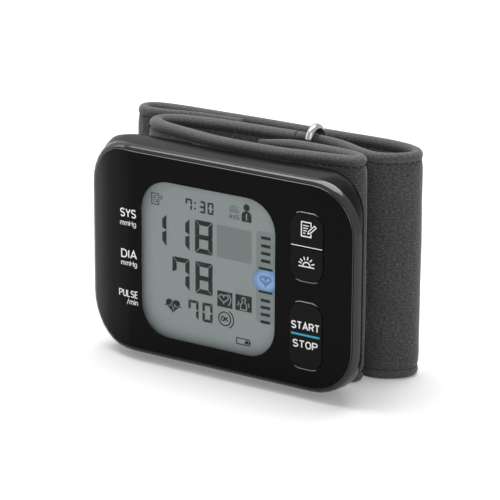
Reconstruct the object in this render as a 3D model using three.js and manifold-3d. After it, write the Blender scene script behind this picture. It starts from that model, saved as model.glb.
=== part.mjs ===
// Wrist blood pressure monitor: a slim two-shell housing with a display, three keys, an air
// pump and two cells, carried on a padded cuff that is folded flat and threaded through a ring.
//
// Millimetres. Pieces are placed from the middle of the front face: X to the right, Y towards
// the back, Z up. At the end the whole assembly is centred and stood on Z = 0.

import * as THREE from "three";
import { mergeVertices } from "three/addons/utils/BufferGeometryUtils.js";
import Module from "manifold-3d";

const wasm = await Module();
wasm.setup();

// Housing
const BODY_WIDTH = 94.3;
const BODY_MIDDLE_X = -1.35;
const BODY_HEIGHT = 63.4;
const BODY_DEPTH = 14.4;
const BODY_CORNER = 15;
const REAR_CORNER = 10;
const WALL = 1.2;
const PARTING_DEPTH = 2.5;
const PARTING_GROOVE = 0.15;
const LIP_DEPTH = 0.3;
const SHOULDER_INSET = 1.2;
const LEFT_TAPER = 9.3;
const RIGHT_TAPER = 8.2;
const TOP_TAPER = 1.0;
const TAPER_POWER = 2.5;
const RIGHT_TAPER_POWER = 1.2;
const REAR_CORNER_SHARE = 0.5;
const TURN_FADE_SHARE = 0.8;
const TURN_WIDTH = 18.5;
const TURN_DEPTH = 5.5;
const TURN_POWER = 1.35;
const TURN_REACH = 1.15;
const FIT = 0.15;
const CLEARANCE = 0.3;

// Front panel, window and display
const PANEL_INSET = 1.5;
const PANEL_THICKNESS = 1.0;
const PANEL_EDGE = 0.45;
const CHASSIS_THICKNESS = 1.0;
const WINDOW_LEFT_MARGIN = 21.45;
const WINDOW_RIGHT_MARGIN = 26.95;
const WINDOW_TOP_MARGIN = 8.9;
const WINDOW_BOTTOM_MARGIN = 7.1;
const WINDOW_CORNER = 9.5;
const LENS_FLANGE = 1.0;
const LENS_FLANGE_THICKNESS = 0.4;
const GLASS_BORDER = 1.8;
const GLASS_THICKNESS = 1.0;
const GLASS_LEDGE = 2.6;
const FRAME_RIM = 1.2;
const FRAME_THICKNESS = 1.5;
const FRAME_PIN_RADIUS = 0.7;
const FRAME_PIN_INSET = 3.2;
const LIGHT_MARGIN = 4.25;
const LIGHT_DROP = 0.3;
const LIGHT_SIZE = 4;

// Keys
const KEY_MARGIN = 16.5;
const KEY_WIDTH = 10.8;
const KEY_CORNER = 3.7;
const KEY_PROUD = 0.25;
const KEY_EDGE = 0.3;
const KEY_TRAVEL = 0.4;
const KEY_FLANGE = 0.7;
const KEY_FLANGE_THICKNESS = 0.35;
const KEY_SPLIT = 0.3;
const UPPER_KEYS_TOP = 21.5;
const UPPER_KEYS_BOTTOM = 1.9;
const UPPER_KEYS_DIVIDE = 11.7;
const START_KEY_TOP = -4.9;
const START_KEY_BOTTOM = -24.3;
const DOME_RADIUS = 2.5;
const DOME_HEIGHT = 0.25;
const SHEET_THICKNESS = 0.15;
const SHEET_MARGIN = 1.5;

// Board and what sits on it
const BOARD_SIDE_BORDER = 2.45;
const BOARD_END_BORDER = 2.5;
const BOARD_BAY_GAP = 0.55;
const BOARD_THICKNESS = 1.0;
const BOARD_GAP = 0.1;
const CHIP_SIZE = 7;
const CHIP_THICKNESS = 1.0;
const CHIP_MARGIN = 3.9;
const CHIP_RISE = 13;
const RADIO_SIZE = 9;
const RADIO_THICKNESS = 1.8;
const RADIO_MARGIN = 0.8;
const RADIO_DROP = 5.5;
const BUZZER_RADIUS = 4.5;
const BUZZER_THICKNESS = 2.0;
const BUZZER_MARGIN = 6.5;
const SENSOR_WIDTH = 7;
const SENSOR_HEIGHT = 6;
const SENSOR_THICKNESS = 3.2;
const SENSOR_NOZZLE_RISE = 0.55;

// Cells and their bay
const CELL_RADIUS = 5.25;
const CELL_LENGTH = 44.5;
const CELL_NUB_RADIUS = 1.9;
const CELL_NUB_LENGTH = 1.0;
const CELL_GAP = 0.2;
const CELL_PITCH = 10.65;
const CELL_MARGIN = 17;
const BAY_WALL = 0.6;
const BAY_END_ROOM = 2.6;
const CONTACT_THICKNESS = 0.4;
const CONTACT_WIDTH = 6;
const SPRING_WIRE = 0.3;
const SPRING_TURNS = 2;
const SPRING_WIDE = 2.7;
const SPRING_NARROW = 1.6;
const COVER_THICKNESS = 0.8;
const COVER_TONGUE_LENGTH = 1.8;
const COVER_TONGUE_WIDTH = 1.9;
const COVER_TONGUE_THICKNESS = 0.5;
const COVER_TONGUE_MARGIN = 1.05;
const COVER_GRIP_COUNT = 4;
const COVER_GRIP_PITCH = 2.2;
const COVER_GRIP_LENGTH = 14;
const COVER_GRIP_DEPTH = 0.35;

// Screws and their posts
const LEFT_SCREW_SIDE_MARGIN = 9.9;
const LEFT_SCREW_END_MARGIN = 8.5;
const RIGHT_SCREW_SIDE_MARGIN = 13.2;
const RIGHT_SCREW_BAY_GAP = 0.2;
const POST_RADIUS = 1.75;
const POST_END = 7.4;
const PILOT_RADIUS = 0.85;
const SCREW_RADIUS = 0.8;
const SCREW_HEAD_RADIUS = 1.4;
const SCREW_HEAD_HEIGHT = 1.1;
const SCREW_LENGTH = 4.2;
const SCREW_FLOOR = 1.0;

// Air pump, valve and tubes
const PUMP_MARGIN = 13.3;
const PUMP_Y = 8.1;
const MOTOR_RADIUS = 5;
const MOTOR_FLAT = 3.9;
const MOTOR_BOTTOM = -18.5;
const MOTOR_TOP = -3.5;
const SHAFT_RADIUS = 0.65;
const SHAFT_DEPTH = 3;
const CAM_RADIUS = 2.2;
const CAM_OFFSET = 0.5;
const CAM_HEIGHT = 2;
const HEAD_WIDTH = 9.4;
const HEAD_DEPTH = 7.2;
const HEAD_HEIGHT = 9.5;
const HEAD_CHAMBER_RADIUS = 3.3;
const HEAD_CHAMBER_DEPTH = 3.2;
const VALVE_WIDTH = 8.4;
const VALVE_DEPTH = 7;
const VALVE_HEIGHT = 9.5;
const VALVE_ABOVE_HEAD = 2;
const PLUNGER_RADIUS = 1.2;
const PLUNGER_LENGTH = 5.2;
const PLUNGER_PROUD = 1.6;
const PLUNGER_TRAVEL = 0.8;
const TUBE_RADIUS = 1.6;
const TUBE_BORE = 0.9;
const NOZZLE_RADIUS = 0.75;
const NOZZLE_LENGTH = 2.4;
const MANIFOLD_WIDTH = 10;
const MANIFOLD_HEIGHT = 11;
const MANIFOLD_DEPTH = 4.2;
const SPOUT_SEAT_INSET = 17;
const SPOUT_RADIUS = 1.8;
const SPOUT_BORE = 0.8;
const SENSOR_ABOVE_MANIFOLD = 9.3;

// Cuff seat on the back of the housing
const SEAT_DEPTH = 2.3;
const SEAT_WIDTH = 32;
const SEAT_COVER_GAP = 2.425;
const SEAT_FLARE = 2.6;
const CUFF_PLATE_THICKNESS = 0.6;
const CUFF_PLATE_MARGIN = 1.6;
const CUFF_PLATE_HEIGHT = 54;

// Cuff
const CUFF_HEIGHT = 68.2;
const CUFF_BODY_THICKNESS = 4.0;
const CUFF_STRAP_THICKNESS = 3.2;
const CUFF_SWELL = 0.15;
const CUFF_BEAD = 3.2;
const CUFF_GROOVE = 0.4;
const CUFF_FLAT = 0.9;
const CUFF_NOSE = 0.35;
const CUFF_TAIL = 0.8;
const CUFF_STEP_ANGLE = 12;
const CUFF_STEP_LENGTH = 7;
const NECK_RISE = 3.6;
const NECK_SEAT_REACH = 4;
const POCKET_THICKNESS = 2.2;
const POCKET_HEIGHT = 52;
const POCKET_START = 0.3;
const POCKET_END = 0.97;
const CURLER_THICKNESS = 0.9;
const BLADDER_THICKNESS = 0.8;
const STEM_RADIUS = 1.5;
const TONGUE_THICKNESS = 1.4;
const TONGUE_HEIGHT = 58;

// Middle of the padded body in plan, from its free end round the right fold, along the back of
// the housing, round the left fold and back to where the strap is sewn on. The three plans are
// measured from the right end of the cuff's seat and from the back of the housing.
const CUFF_BODY_PLAN = [
  [-13.8, 4.5],
  [-10, 7.3],
  [-6, 9.4],
  [-1, 10],
  [5, 10.1],
  [11, 9.9],
  [15.2, 9.3],
  [18, 8.2],
  [18.8, 6.7],
  [17.7, 5.3],
  [14, 4.3],
  [9, 3.4],
  [3, 2.4],
  [-3, 1.3],
  [-11, 0.8],
  [-21, 0.8],
  [-27, 1.2],
  [-31, 1.9],
  [-35, 2.7],
  [-41, 3.9],
  [-47, 5.3],
  [-51, 7.1],
  [-52.5, 9.4],
  [-51.3, 11.9],
  [-47.5, 14],
  [-41, 15.4],
  [-33, 16.5],
  [-23, 17.3],
  [-15, 17.8],
  [-9.1, 18.2],
];

// Middle of the strap in plan, from the padded body through the ring, round the right fold,
// along the back, round the left fold and in between the layers.
const CUFF_STRAP_PLAN = [
  [-8.8, 18.2],
  [-3, 18.4],
  [3, 17.9],
  [9, 16.2],
  [14.5, 13.7],
  [19.6, 12.1],
  [23.6, 12.9],
  [27.2, 15.4],
  [29.6, 18.7],
  [28.9, 22],
  [25.2, 24.2],
  [19, 25.3],
  [12, 25.4],
  [4, 25],
  [-3, 24.8],
  [-11, 24.5],
  [-18, 24.4],
  [-26, 24.2],
  [-36, 23.8],
  [-43, 23.5],
  [-50, 23.2],
  [-57, 22.6],
  [-62, 21.2],
  [-63.6, 18.6],
  [-61.6, 16.4],
  [-56.5, 16.4],
  [-51, 17.6],
  [-46, 18.8],
  [-40, 19.6],
  [-34, 20.2],
  [-29.3, 20.5],
];

// Middle of the hook-faced tongue that ends the strap.
const TONGUE_PLAN = [
  [-29, 20.5],
  [-24, 20.8],
  [-18, 21],
];

// Strap ring
const RING_WIRE_RADIUS = 1.2;
const RING_SEAT_INSET = 3;
const RING_FRONT_SET = 14.5;
const RING_REAR_SET = 21.5;
const RING_BOTTOM_GAP = 0.4;
const RING_ABOVE_CUFF = 3.2;
const RING_FOOT_CORNER = 2.4;
const TAB_WALL = 0.55;
const TAB_HEIGHT = 40;
const TAB_BASE_WIDTH = 10;

// Facets
const CORNER_STEPS = 8;
const TURN_STEPS = 8;
const ROUND_STEPS = 24;
const SMALL_ROUND_STEPS = 12;
const WIRE_SIDES = 8;
const TAPER_STEPS = 6;
const SHOULDER_STEPS = 3;
const MERGE_DISTANCE = 1e-4;
const OVERCUT = 2;

// Places worked out from the sizes above
const BODY_LEFT = BODY_MIDDLE_X - BODY_WIDTH / 2;
const BODY_RIGHT = BODY_MIDDLE_X + BODY_WIDTH / 2;
const BODY_TOP = BODY_HEIGHT / 2;
const BODY_BOTTOM = -BODY_HEIGHT / 2;
const WINDOW_LEFT = BODY_LEFT + WINDOW_LEFT_MARGIN;
const WINDOW_RIGHT = BODY_RIGHT - WINDOW_RIGHT_MARGIN;
const WINDOW_TOP = BODY_TOP - WINDOW_TOP_MARGIN;
const WINDOW_BOTTOM = BODY_BOTTOM + WINDOW_BOTTOM_MARGIN;
const WINDOW_WIDTH = WINDOW_RIGHT - WINDOW_LEFT;
const WINDOW_HEIGHT = WINDOW_TOP - WINDOW_BOTTOM;
const WINDOW_X = (WINDOW_LEFT + WINDOW_RIGHT) / 2;
const WINDOW_Z = (WINDOW_TOP + WINDOW_BOTTOM) / 2;
const GLASS_WIDTH = WINDOW_WIDTH + 2 * GLASS_BORDER;
const GLASS_HEIGHT = WINDOW_HEIGHT + 2 * GLASS_BORDER;
const LIGHT_X = WINDOW_RIGHT - LIGHT_MARGIN;
const LIGHT_Z = WINDOW_Z - LIGHT_DROP;
const KEY_X = BODY_RIGHT - KEY_MARGIN;
const CELL_MIDDLE_X = BODY_RIGHT - CELL_MARGIN;
const PUMP_X = BODY_LEFT + PUMP_MARGIN;
const CHASSIS_FRONT = PANEL_THICKNESS + 0.05;
const CHASSIS_BACK = CHASSIS_FRONT + CHASSIS_THICKNESS;
const GLASS_FRONT = PANEL_THICKNESS + 0.1;
const GLASS_MIDDLE = GLASS_FRONT + GLASS_THICKNESS / 2;
const GLASS_BACK = GLASS_FRONT + GLASS_THICKNESS;
const FRAME_FRONT = GLASS_BACK + 0.05;
const FRAME_BACK = FRAME_FRONT + FRAME_THICKNESS;
const BOARD_FRONT = FRAME_BACK + BOARD_GAP;
const BOARD_BACK = BOARD_FRONT + BOARD_THICKNESS;
const KEY_FLANGE_FRONT = PANEL_THICKNESS + 0.05;
const KEY_FLANGE_BACK = KEY_FLANGE_FRONT + KEY_FLANGE_THICKNESS;
const DOME_FRONT = KEY_FLANGE_BACK + KEY_TRAVEL + 0.05;
const SHEET_FRONT = DOME_FRONT + DOME_HEIGHT;
const SHEET_BACK = SHEET_FRONT + SHEET_THICKNESS;
const BAY_FRONT = SHEET_BACK + 0.05;
const BAY_FLOOR = BAY_FRONT + BAY_WALL;
const CELL_Y = BAY_FLOOR + 0.1 + CELL_RADIUS;
const COVER_INNER = BODY_DEPTH - COVER_THICKNESS;
const BAY_LEFT = CELL_MIDDLE_X - CELL_PITCH / 2 - CELL_RADIUS - CELL_GAP;
const BAY_RIGHT = CELL_MIDDLE_X + CELL_PITCH / 2 + CELL_RADIUS + CELL_GAP;
const BAY_HALF_HEIGHT = CELL_LENGTH / 2 + BAY_END_ROOM;
const COVER_LEFT = BAY_LEFT - BAY_WALL;
const COVER_HALF_HEIGHT = BAY_HALF_HEIGHT - CLEARANCE;
const COVER_TONGUE_Z = COVER_HALF_HEIGHT - COVER_TONGUE_MARGIN;
const COVER_FRONT = BODY_DEPTH - WALL - CLEARANCE - COVER_TONGUE_THICKNESS;
const SEAT_RIGHT = COVER_LEFT - SEAT_COVER_GAP;
const SEAT_LEFT = SEAT_RIGHT - SEAT_WIDTH;
const SPOUT_X = SEAT_RIGHT - SPOUT_SEAT_INSET;
const SEAT_FLOOR = BODY_DEPTH - SEAT_DEPTH;
const SEAT_INNER = SEAT_FLOOR - WALL;
const BOARD_LEFT = WINDOW_LEFT - BOARD_SIDE_BORDER;
const BOARD_RIGHT = COVER_LEFT - BOARD_BAY_GAP;
const BOARD_TOP = WINDOW_TOP + BOARD_END_BORDER;
const BOARD_BOTTOM = WINDOW_BOTTOM - BOARD_END_BORDER;
const MANIFOLD_Y = BOARD_BACK + SENSOR_THICKNESS + SENSOR_NOZZLE_RISE;
const MANIFOLD_FRONT = MANIFOLD_Y - MANIFOLD_DEPTH / 2;
const MANIFOLD_BACK = MANIFOLD_Y + MANIFOLD_DEPTH / 2;
const HEAD_BOTTOM = MOTOR_TOP + CLEARANCE;
const HEAD_TOP = HEAD_BOTTOM + HEAD_HEIGHT;
const VALVE_BOTTOM = HEAD_TOP + VALVE_ABOVE_HEAD;
const VALVE_TOP = VALVE_BOTTOM + VALVE_HEIGHT;
const CUFF_BOTTOM = -CUFF_HEIGHT / 2;
const CUFF_TOP = CUFF_HEIGHT / 2;
const LEFT_SCREW_X = BODY_LEFT + LEFT_SCREW_SIDE_MARGIN;
const RIGHT_SCREW_X = BODY_RIGHT - RIGHT_SCREW_SIDE_MARGIN;
const RIGHT_SCREW_Z = BAY_HALF_HEIGHT + BAY_WALL + POST_RADIUS + RIGHT_SCREW_BAY_GAP;
const SCREWS = [
  [LEFT_SCREW_X, BODY_TOP - LEFT_SCREW_END_MARGIN],
  [LEFT_SCREW_X, BODY_BOTTOM + LEFT_SCREW_END_MARGIN],
  [RIGHT_SCREW_X, RIGHT_SCREW_Z],
  [RIGHT_SCREW_X, -RIGHT_SCREW_Z],
];
const RING_X = SEAT_RIGHT - RING_SEAT_INSET;
const RING_FRONT_Y = BODY_DEPTH + RING_FRONT_SET;
const RING_REAR_Y = BODY_DEPTH + RING_REAR_SET;
const NECK_END_X = SEAT_RIGHT + NECK_SEAT_REACH;
const placed = (plan) => plan.map(([x, y]) => [SEAT_RIGHT + x, BODY_DEPTH + y]);
const CUFF_BODY_PATH = placed(CUFF_BODY_PLAN);
const CUFF_STRAP_PATH = placed(CUFF_STRAP_PLAN);
const TONGUE_PATH = placed(TONGUE_PLAN);

const vector2 = ([x, y]) => new THREE.Vector2(x, y);
const radians = THREE.MathUtils.degToRad;

// Closed solid of a geometry, ready to be joined or cut.
function solid(geometry) {
  const bare = new THREE.BufferGeometry();
  bare.setAttribute("position", geometry.getAttribute("position"));
  bare.setIndex(geometry.index);
  const merged = mergeVertices(bare, MERGE_DISTANCE);
  return new wasm.Manifold(
    new wasm.Mesh({
      numProp: 3,
      vertProperties: new Float32Array(merged.attributes.position.array),
      triVerts: new Uint32Array(merged.index.array),
    }),
  );
}

// Geometry of a solid.
function geometryOf(shape) {
  const mesh = shape.getMesh();
  const geometry = new THREE.BufferGeometry();
  geometry.setAttribute("position", new THREE.BufferAttribute(mesh.vertProperties, 3));
  geometry.setIndex(new THREE.BufferAttribute(mesh.triVerts, 1));
  geometry.computeVertexNormals();
  return geometry;
}

// One geometry from a base with others joined to it and others cut away.
function shaped(base, { add = [], cut = [] }) {
  let shape = solid(base);
  for (const piece of add) {
    shape = shape.add(solid(piece));
  }
  for (const piece of cut) {
    shape = shape.subtract(solid(piece));
  }
  return geometryOf(shape);
}

// Points of a rounded rectangle.
function roundedOutline(width, height, corner, x = 0, z = 0) {
  const points = [];
  const corners = [
    [1, 1],
    [-1, 1],
    [-1, -1],
    [1, -1],
  ];
  corners.forEach(([sideX, sideZ], quarter) => {
    for (let step = 0; step <= CORNER_STEPS; step++) {
      const angle = (quarter + step / CORNER_STEPS) * (Math.PI / 2);
      const px = x + sideX * (width / 2 - corner) + corner * Math.cos(angle);
      const pz = z + sideZ * (height / 2 - corner) + corner * Math.sin(angle);
      points.push(new THREE.Vector2(px, pz));
    }
  });
  return points;
}

// Points of a circle.
function circle(radius, x = 0, y = 0, steps = ROUND_STEPS) {
  const points = [];
  for (let step = 0; step < steps; step++) {
    const angle = (step / steps) * 2 * Math.PI;
    points.push(new THREE.Vector2(x + radius * Math.cos(angle), y + radius * Math.sin(angle)));
  }
  return points;
}

// Outline of a key between two heights, its corners square where a round is left out.
function keyOutline(x, width, bottom, top, { roundTop = true, roundBottom = true } = {}) {
  const half = width / 2;
  const corner = Math.min(half, KEY_CORNER + (width - KEY_WIDTH) / 2);
  const corners = [
    [1, top, roundTop, 0],
    [-1, top, roundTop, 1],
    [-1, bottom, roundBottom, 2],
    [1, bottom, roundBottom, 3],
  ];
  const points = [];
  for (const [side, level, round, quarter] of corners) {
    const reach = round ? corner : 0;
    const steps = round ? CORNER_STEPS : 0;
    const middleX = x + side * (half - reach);
    const middleZ = level === top ? top - reach : bottom + reach;
    for (let step = 0; step <= steps; step++) {
      const angle = (Math.PI / 2) * (quarter + (round ? step / steps : 0));
      const across = reach * Math.cos(angle);
      points.push(new THREE.Vector2(middleX + across, middleZ + reach * Math.sin(angle)));
    }
  }
  return points;
}

// Outline drawn on the front face, given thickness from one depth to another.
function plate(outline, front, back, bevel = 0) {
  const geometry = new THREE.ExtrudeGeometry(new THREE.Shape(outline), {
    depth: back - front - 2 * bevel,
    bevelEnabled: bevel > 0,
    bevelThickness: bevel,
    bevelSize: bevel,
    bevelOffset: -bevel,
    bevelSegments: 2,
  });
  return geometry.rotateX(Math.PI / 2).translate(0, back - bevel, 0);
}

// Outline drawn in plan, given height from one level to another.
function column(outline, bottom, top) {
  const options = { depth: top - bottom, bevelEnabled: false };
  return new THREE.ExtrudeGeometry(new THREE.Shape(outline), options).translate(0, 0, bottom);
}

// Box between two corners.
function block(low, high) {
  const size = high.map((value, axis) => value - low[axis]);
  const middle = high.map((value, axis) => (value + low[axis]) / 2);
  return new THREE.BoxGeometry(...size).translate(...middle);
}

// Round bar between two depths.
function depthBar(radius, x, z, front, back, steps = SMALL_ROUND_STEPS) {
  return plate(circle(radius, x, z, steps), front, back);
}

// Round bar along X.
function sideBar(radius, y, z, left, right, steps = WIRE_SIDES) {
  const bar = new THREE.CylinderGeometry(radius, radius, right - left, steps);
  return bar.rotateZ(Math.PI / 2).translate((left + right) / 2, y, z);
}

// Closed skin over rings of equal count; flat gives the ring's own outline for the two ends.
function skin(rings, flat) {
  const count = flat.length;
  const positions = rings.flatMap((ring) => ring.flatMap((point) => point.toArray()));
  const index = [];
  for (let ring = 0; ring + 1 < rings.length; ring++) {
    for (let point = 0; point < count; point++) {
      const a = ring * count + point;
      const b = ring * count + ((point + 1) % count);
      index.push(a, b, b + count, a, b + count, a + count);
    }
  }
  const last = (rings.length - 1) * count;
  const turn = Math.sign(THREE.ShapeUtils.area(flat));
  for (const face of THREE.ShapeUtils.triangulateShape(flat, [])) {
    const faceTurn = Math.sign(THREE.ShapeUtils.area(face.map((corner) => flat[corner])));
    const [a, b, c] = faceTurn === turn ? face : [face[0], face[2], face[1]];
    index.push(a, c, b, last + a, last + b, last + c);
  }
  let volume = 0;
  const corner = (i) => new THREE.Vector3().fromArray(positions, 3 * index[i]);
  for (let i = 0; i < index.length; i += 3) {
    volume += corner(i).dot(corner(i + 1).cross(corner(i + 2)));
  }
  const facing = volume > 0 ? index : index.reverse();
  const geometry = new THREE.BufferGeometry();
  geometry.setAttribute("position", new THREE.Float32BufferAttribute(positions, 3));
  geometry.setIndex(facing);
  return geometry;
}

// The face is flat except towards its left end, where it turns back: knots of that turn in plan,
// which reach a little past the end of the housing.
const TURN_KNOTS = [];
for (let step = 0; step <= TURN_STEPS; step++) {
  const share = (TURN_REACH * step) / TURN_STEPS;
  const x = BODY_LEFT + TURN_WIDTH * (1 - share);
  TURN_KNOTS.push(new THREE.Vector2(x, TURN_DEPTH * share ** TURN_POWER));
}

// How far the face lies back at a place along its width.
function faceDepth(x) {
  const after = TURN_KNOTS.findIndex((knot) => knot.x <= x);
  if (after === 0) {
    return 0;
  }
  const [near, far] = [TURN_KNOTS[after - 1], TURN_KNOTS[after]];
  return THREE.MathUtils.mapLinear(x, near.x, far.x, near.y, far.y);
}

// Everything in front of the face, or of a layer that lies a given depth behind it.
function inFront(depth) {
  const right = BODY_RIGHT + OVERCUT;
  const outline = [
    new THREE.Vector2(right, -2 * OVERCUT),
    new THREE.Vector2(right, depth),
    ...TURN_KNOTS.map((knot) => new THREE.Vector2(knot.x, knot.y + depth)),
    new THREE.Vector2(TURN_KNOTS[TURN_STEPS].x, -2 * OVERCUT),
  ];
  return column(outline, -BODY_HEIGHT, BODY_HEIGHT);
}

// Housing outline set in by a margin, with the places where the face starts to turn marked on it.
function bodyOutline(inset) {
  const points = roundedOutline(
    BODY_WIDTH - 2 * inset,
    BODY_HEIGHT - 2 * inset,
    BODY_CORNER - inset,
    BODY_MIDDLE_X,
  );
  const marked = [];
  points.forEach((point, i) => {
    const next = points[(i + 1) % points.length];
    const between = TURN_KNOTS.filter((knot) => (knot.x - point.x) * (knot.x - next.x) < 0);
    const level = Math.abs(point.y - next.y) < 1e-6;
    const places = (level ? between : []).map((knot) => new THREE.Vector2(knot.x, point.y));
    places.sort((a, b) => a.distanceTo(point) - b.distanceTo(point));
    marked.push(point, ...places);
  });
  return marked;
}

// Skin through housing outlines of different insets, at depths that follow the face.
function faceLoft(sections) {
  const outlines = sections.map(({ inset }) => bodyOutline(inset));
  const rings = outlines.map((outline, i) =>
    outline.map(
      (point) =>
        new THREE.Vector3(point.x, sections[i].depth + sections[i].follow * faceDepth(point.x), point.y),
    ),
  );
  return skin(rings, outlines[0]);
}

// Share of a taper that is reached at a share of the depth: slow at first, then round.
function tuck(share, power) {
  return 1 - (1 - share ** power) ** (1 / power);
}

// Outer form of the rear housing, or its inner form when set in by the wall. It starts along the
// face's turn and is level at the back, and its corners tighten behind the parting.
function rearForm(inset) {
  const reach = BODY_DEPTH - inset - PARTING_DEPTH;
  const outlineAt = (share) => {
    const left = LEFT_TAPER * tuck(share, TAPER_POWER);
    const right = RIGHT_TAPER * tuck(share, RIGHT_TAPER_POWER);
    const top = TOP_TAPER * tuck(share, TAPER_POWER);
    const tightening = Math.min(1, share / REAR_CORNER_SHARE);
    return roundedOutline(
      BODY_WIDTH - 2 * inset - left - right,
      BODY_HEIGHT - 2 * inset - 2 * top,
      THREE.MathUtils.lerp(BODY_CORNER, REAR_CORNER, tightening) - inset,
      BODY_MIDDLE_X + (left - right) / 2,
    );
  };
  const first = outlineAt(0);
  const rings = [first.map((point) => new THREE.Vector3(point.x, -OVERCUT, point.y))];
  for (let step = 0; step <= TAPER_STEPS; step++) {
    const share = Math.sin((step / TAPER_STEPS) * (Math.PI / 2));
    const follow = 1 - Math.min(1, share / TURN_FADE_SHARE);
    const depth = PARTING_DEPTH + reach * share;
    const ring = outlineAt(share).map(
      (point) => new THREE.Vector3(point.x, depth + follow * faceDepth(point.x), point.y),
    );
    rings.push(ring);
  }
  return skin(rings, first);
}

// Shallow trough across the back where the cuff lies, or a fatter one for its inner wall.
function seatTrough(grow) {
  const flare = SEAT_FLARE + grow;
  const deep = SEAT_FLOOR - grow;
  const behind = BODY_DEPTH + OVERCUT;
  const run = (SEAT_FLARE * (behind - deep)) / SEAT_DEPTH;
  const outline = [
    [SEAT_LEFT - grow, deep],
    [SEAT_LEFT - grow - run, behind],
    [SEAT_RIGHT + grow + run, behind],
    [SEAT_RIGHT + grow, deep],
  ];
  return column(outline.map(vector2), -BODY_HEIGHT / 2 - flare, BODY_HEIGHT / 2 + flare);
}

// Space that the battery cover closes.
function coverSpace(gap) {
  const low = [COVER_LEFT - gap, COVER_FRONT - gap, -COVER_HALF_HEIGHT - gap];
  const high = [BODY_RIGHT + OVERCUT, BODY_DEPTH + OVERCUT, COVER_HALF_HEIGHT + gap];
  return block(low, high);
}

// Tongues that hook the cover under the edge of the housing, or the sockets for them.
function tongues(gap) {
  const front = COVER_FRONT - gap;
  const back = COVER_FRONT + COVER_TONGUE_THICKNESS + gap;
  const half = COVER_TONGUE_WIDTH / 2 + gap;
  return [-COVER_TONGUE_Z, COVER_TONGUE_Z].map((z) =>
    block(
      [COVER_LEFT - COVER_TONGUE_LENGTH - gap, front, z - half],
      [COVER_LEFT + WALL, back, z + half],
    ),
  );
}

// Roots that join the tongues to the cover's plate.
function tongueRoots() {
  const half = COVER_TONGUE_WIDTH / 2;
  return [-COVER_TONGUE_Z, COVER_TONGUE_Z].map((z) =>
    block([COVER_LEFT, COVER_FRONT, z - half], [COVER_LEFT + WALL, BODY_DEPTH - 0.3, z + half]),
  );
}

function rearCase() {
  const front = solid(inFront(PARTING_DEPTH));
  const outer = solid(rearForm(0)).subtract(solid(seatTrough(0))).subtract(front);
  const hollow = solid(rearForm(WALL)).subtract(solid(seatTrough(WALL)));
  const bayBlock = solid(
    block(
      [BAY_LEFT - BAY_WALL, BAY_FRONT, -BAY_HALF_HEIGHT - BAY_WALL],
      [BAY_RIGHT + BAY_WALL, BODY_DEPTH, BAY_HALF_HEIGHT + BAY_WALL],
    ),
  );
  const inside = solid(rearForm(WALL / 2)).intersect(bayBlock);
  const bay = solid(
    block(
      [BAY_LEFT, BAY_FLOOR, -BAY_HALF_HEIGHT],
      [BAY_RIGHT, COVER_INNER, BAY_HALF_HEIGHT],
    ),
  ).intersect(solid(rearForm(BAY_WALL)));
  let shell = outer.subtract(hollow).add(inside).subtract(bay);
  for (const [x, z] of SCREWS) {
    const boss = depthBar(POST_RADIUS + 0.35, x, z, POST_END, BODY_DEPTH);
    shell = shell.add(solid(boss).intersect(outer));
    const well = depthBar(
      SCREW_HEAD_RADIUS + FIT,
      x,
      z,
      POST_END + SCREW_FLOOR,
      BODY_DEPTH + OVERCUT,
    );
    const tip = POST_END + SCREW_FLOOR - SCREW_LENGTH - FIT;
    const hole = depthBar(SCREW_RADIUS + FIT, x, z, tip, BODY_DEPTH);
    shell = shell.subtract(solid(well)).subtract(solid(hole));
  }
  const spoutHole = depthBar(SPOUT_RADIUS + FIT, SPOUT_X, 0, SEAT_INNER - 1, BODY_DEPTH);
  shell = shell.subtract(solid(coverSpace(CLEARANCE))).subtract(solid(spoutHole));
  for (const socket of tongues(CLEARANCE)) {
    shell = shell.subtract(solid(socket));
  }
  return geometryOf(shell);
}

function batteryCover() {
  const skinOfBack = solid(rearForm(0)).subtract(solid(rearForm(COVER_THICKNESS)));
  let cover = skinOfBack.intersect(solid(coverSpace(0)));
  for (const piece of [...tongues(0), ...tongueRoots()]) {
    cover = cover.add(solid(piece));
  }
  for (let grip = 0; grip < COVER_GRIP_COUNT; grip++) {
    const x = COVER_LEFT + 3 + grip * COVER_GRIP_PITCH;
    const groove = block(
      [x - COVER_GRIP_PITCH / 4, BODY_DEPTH - COVER_GRIP_DEPTH, -COVER_GRIP_LENGTH / 2],
      [x + COVER_GRIP_PITCH / 4, BODY_DEPTH + OVERCUT, COVER_GRIP_LENGTH / 2],
    );
    cover = cover.subtract(solid(groove));
  }
  return geometryOf(cover);
}

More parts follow.
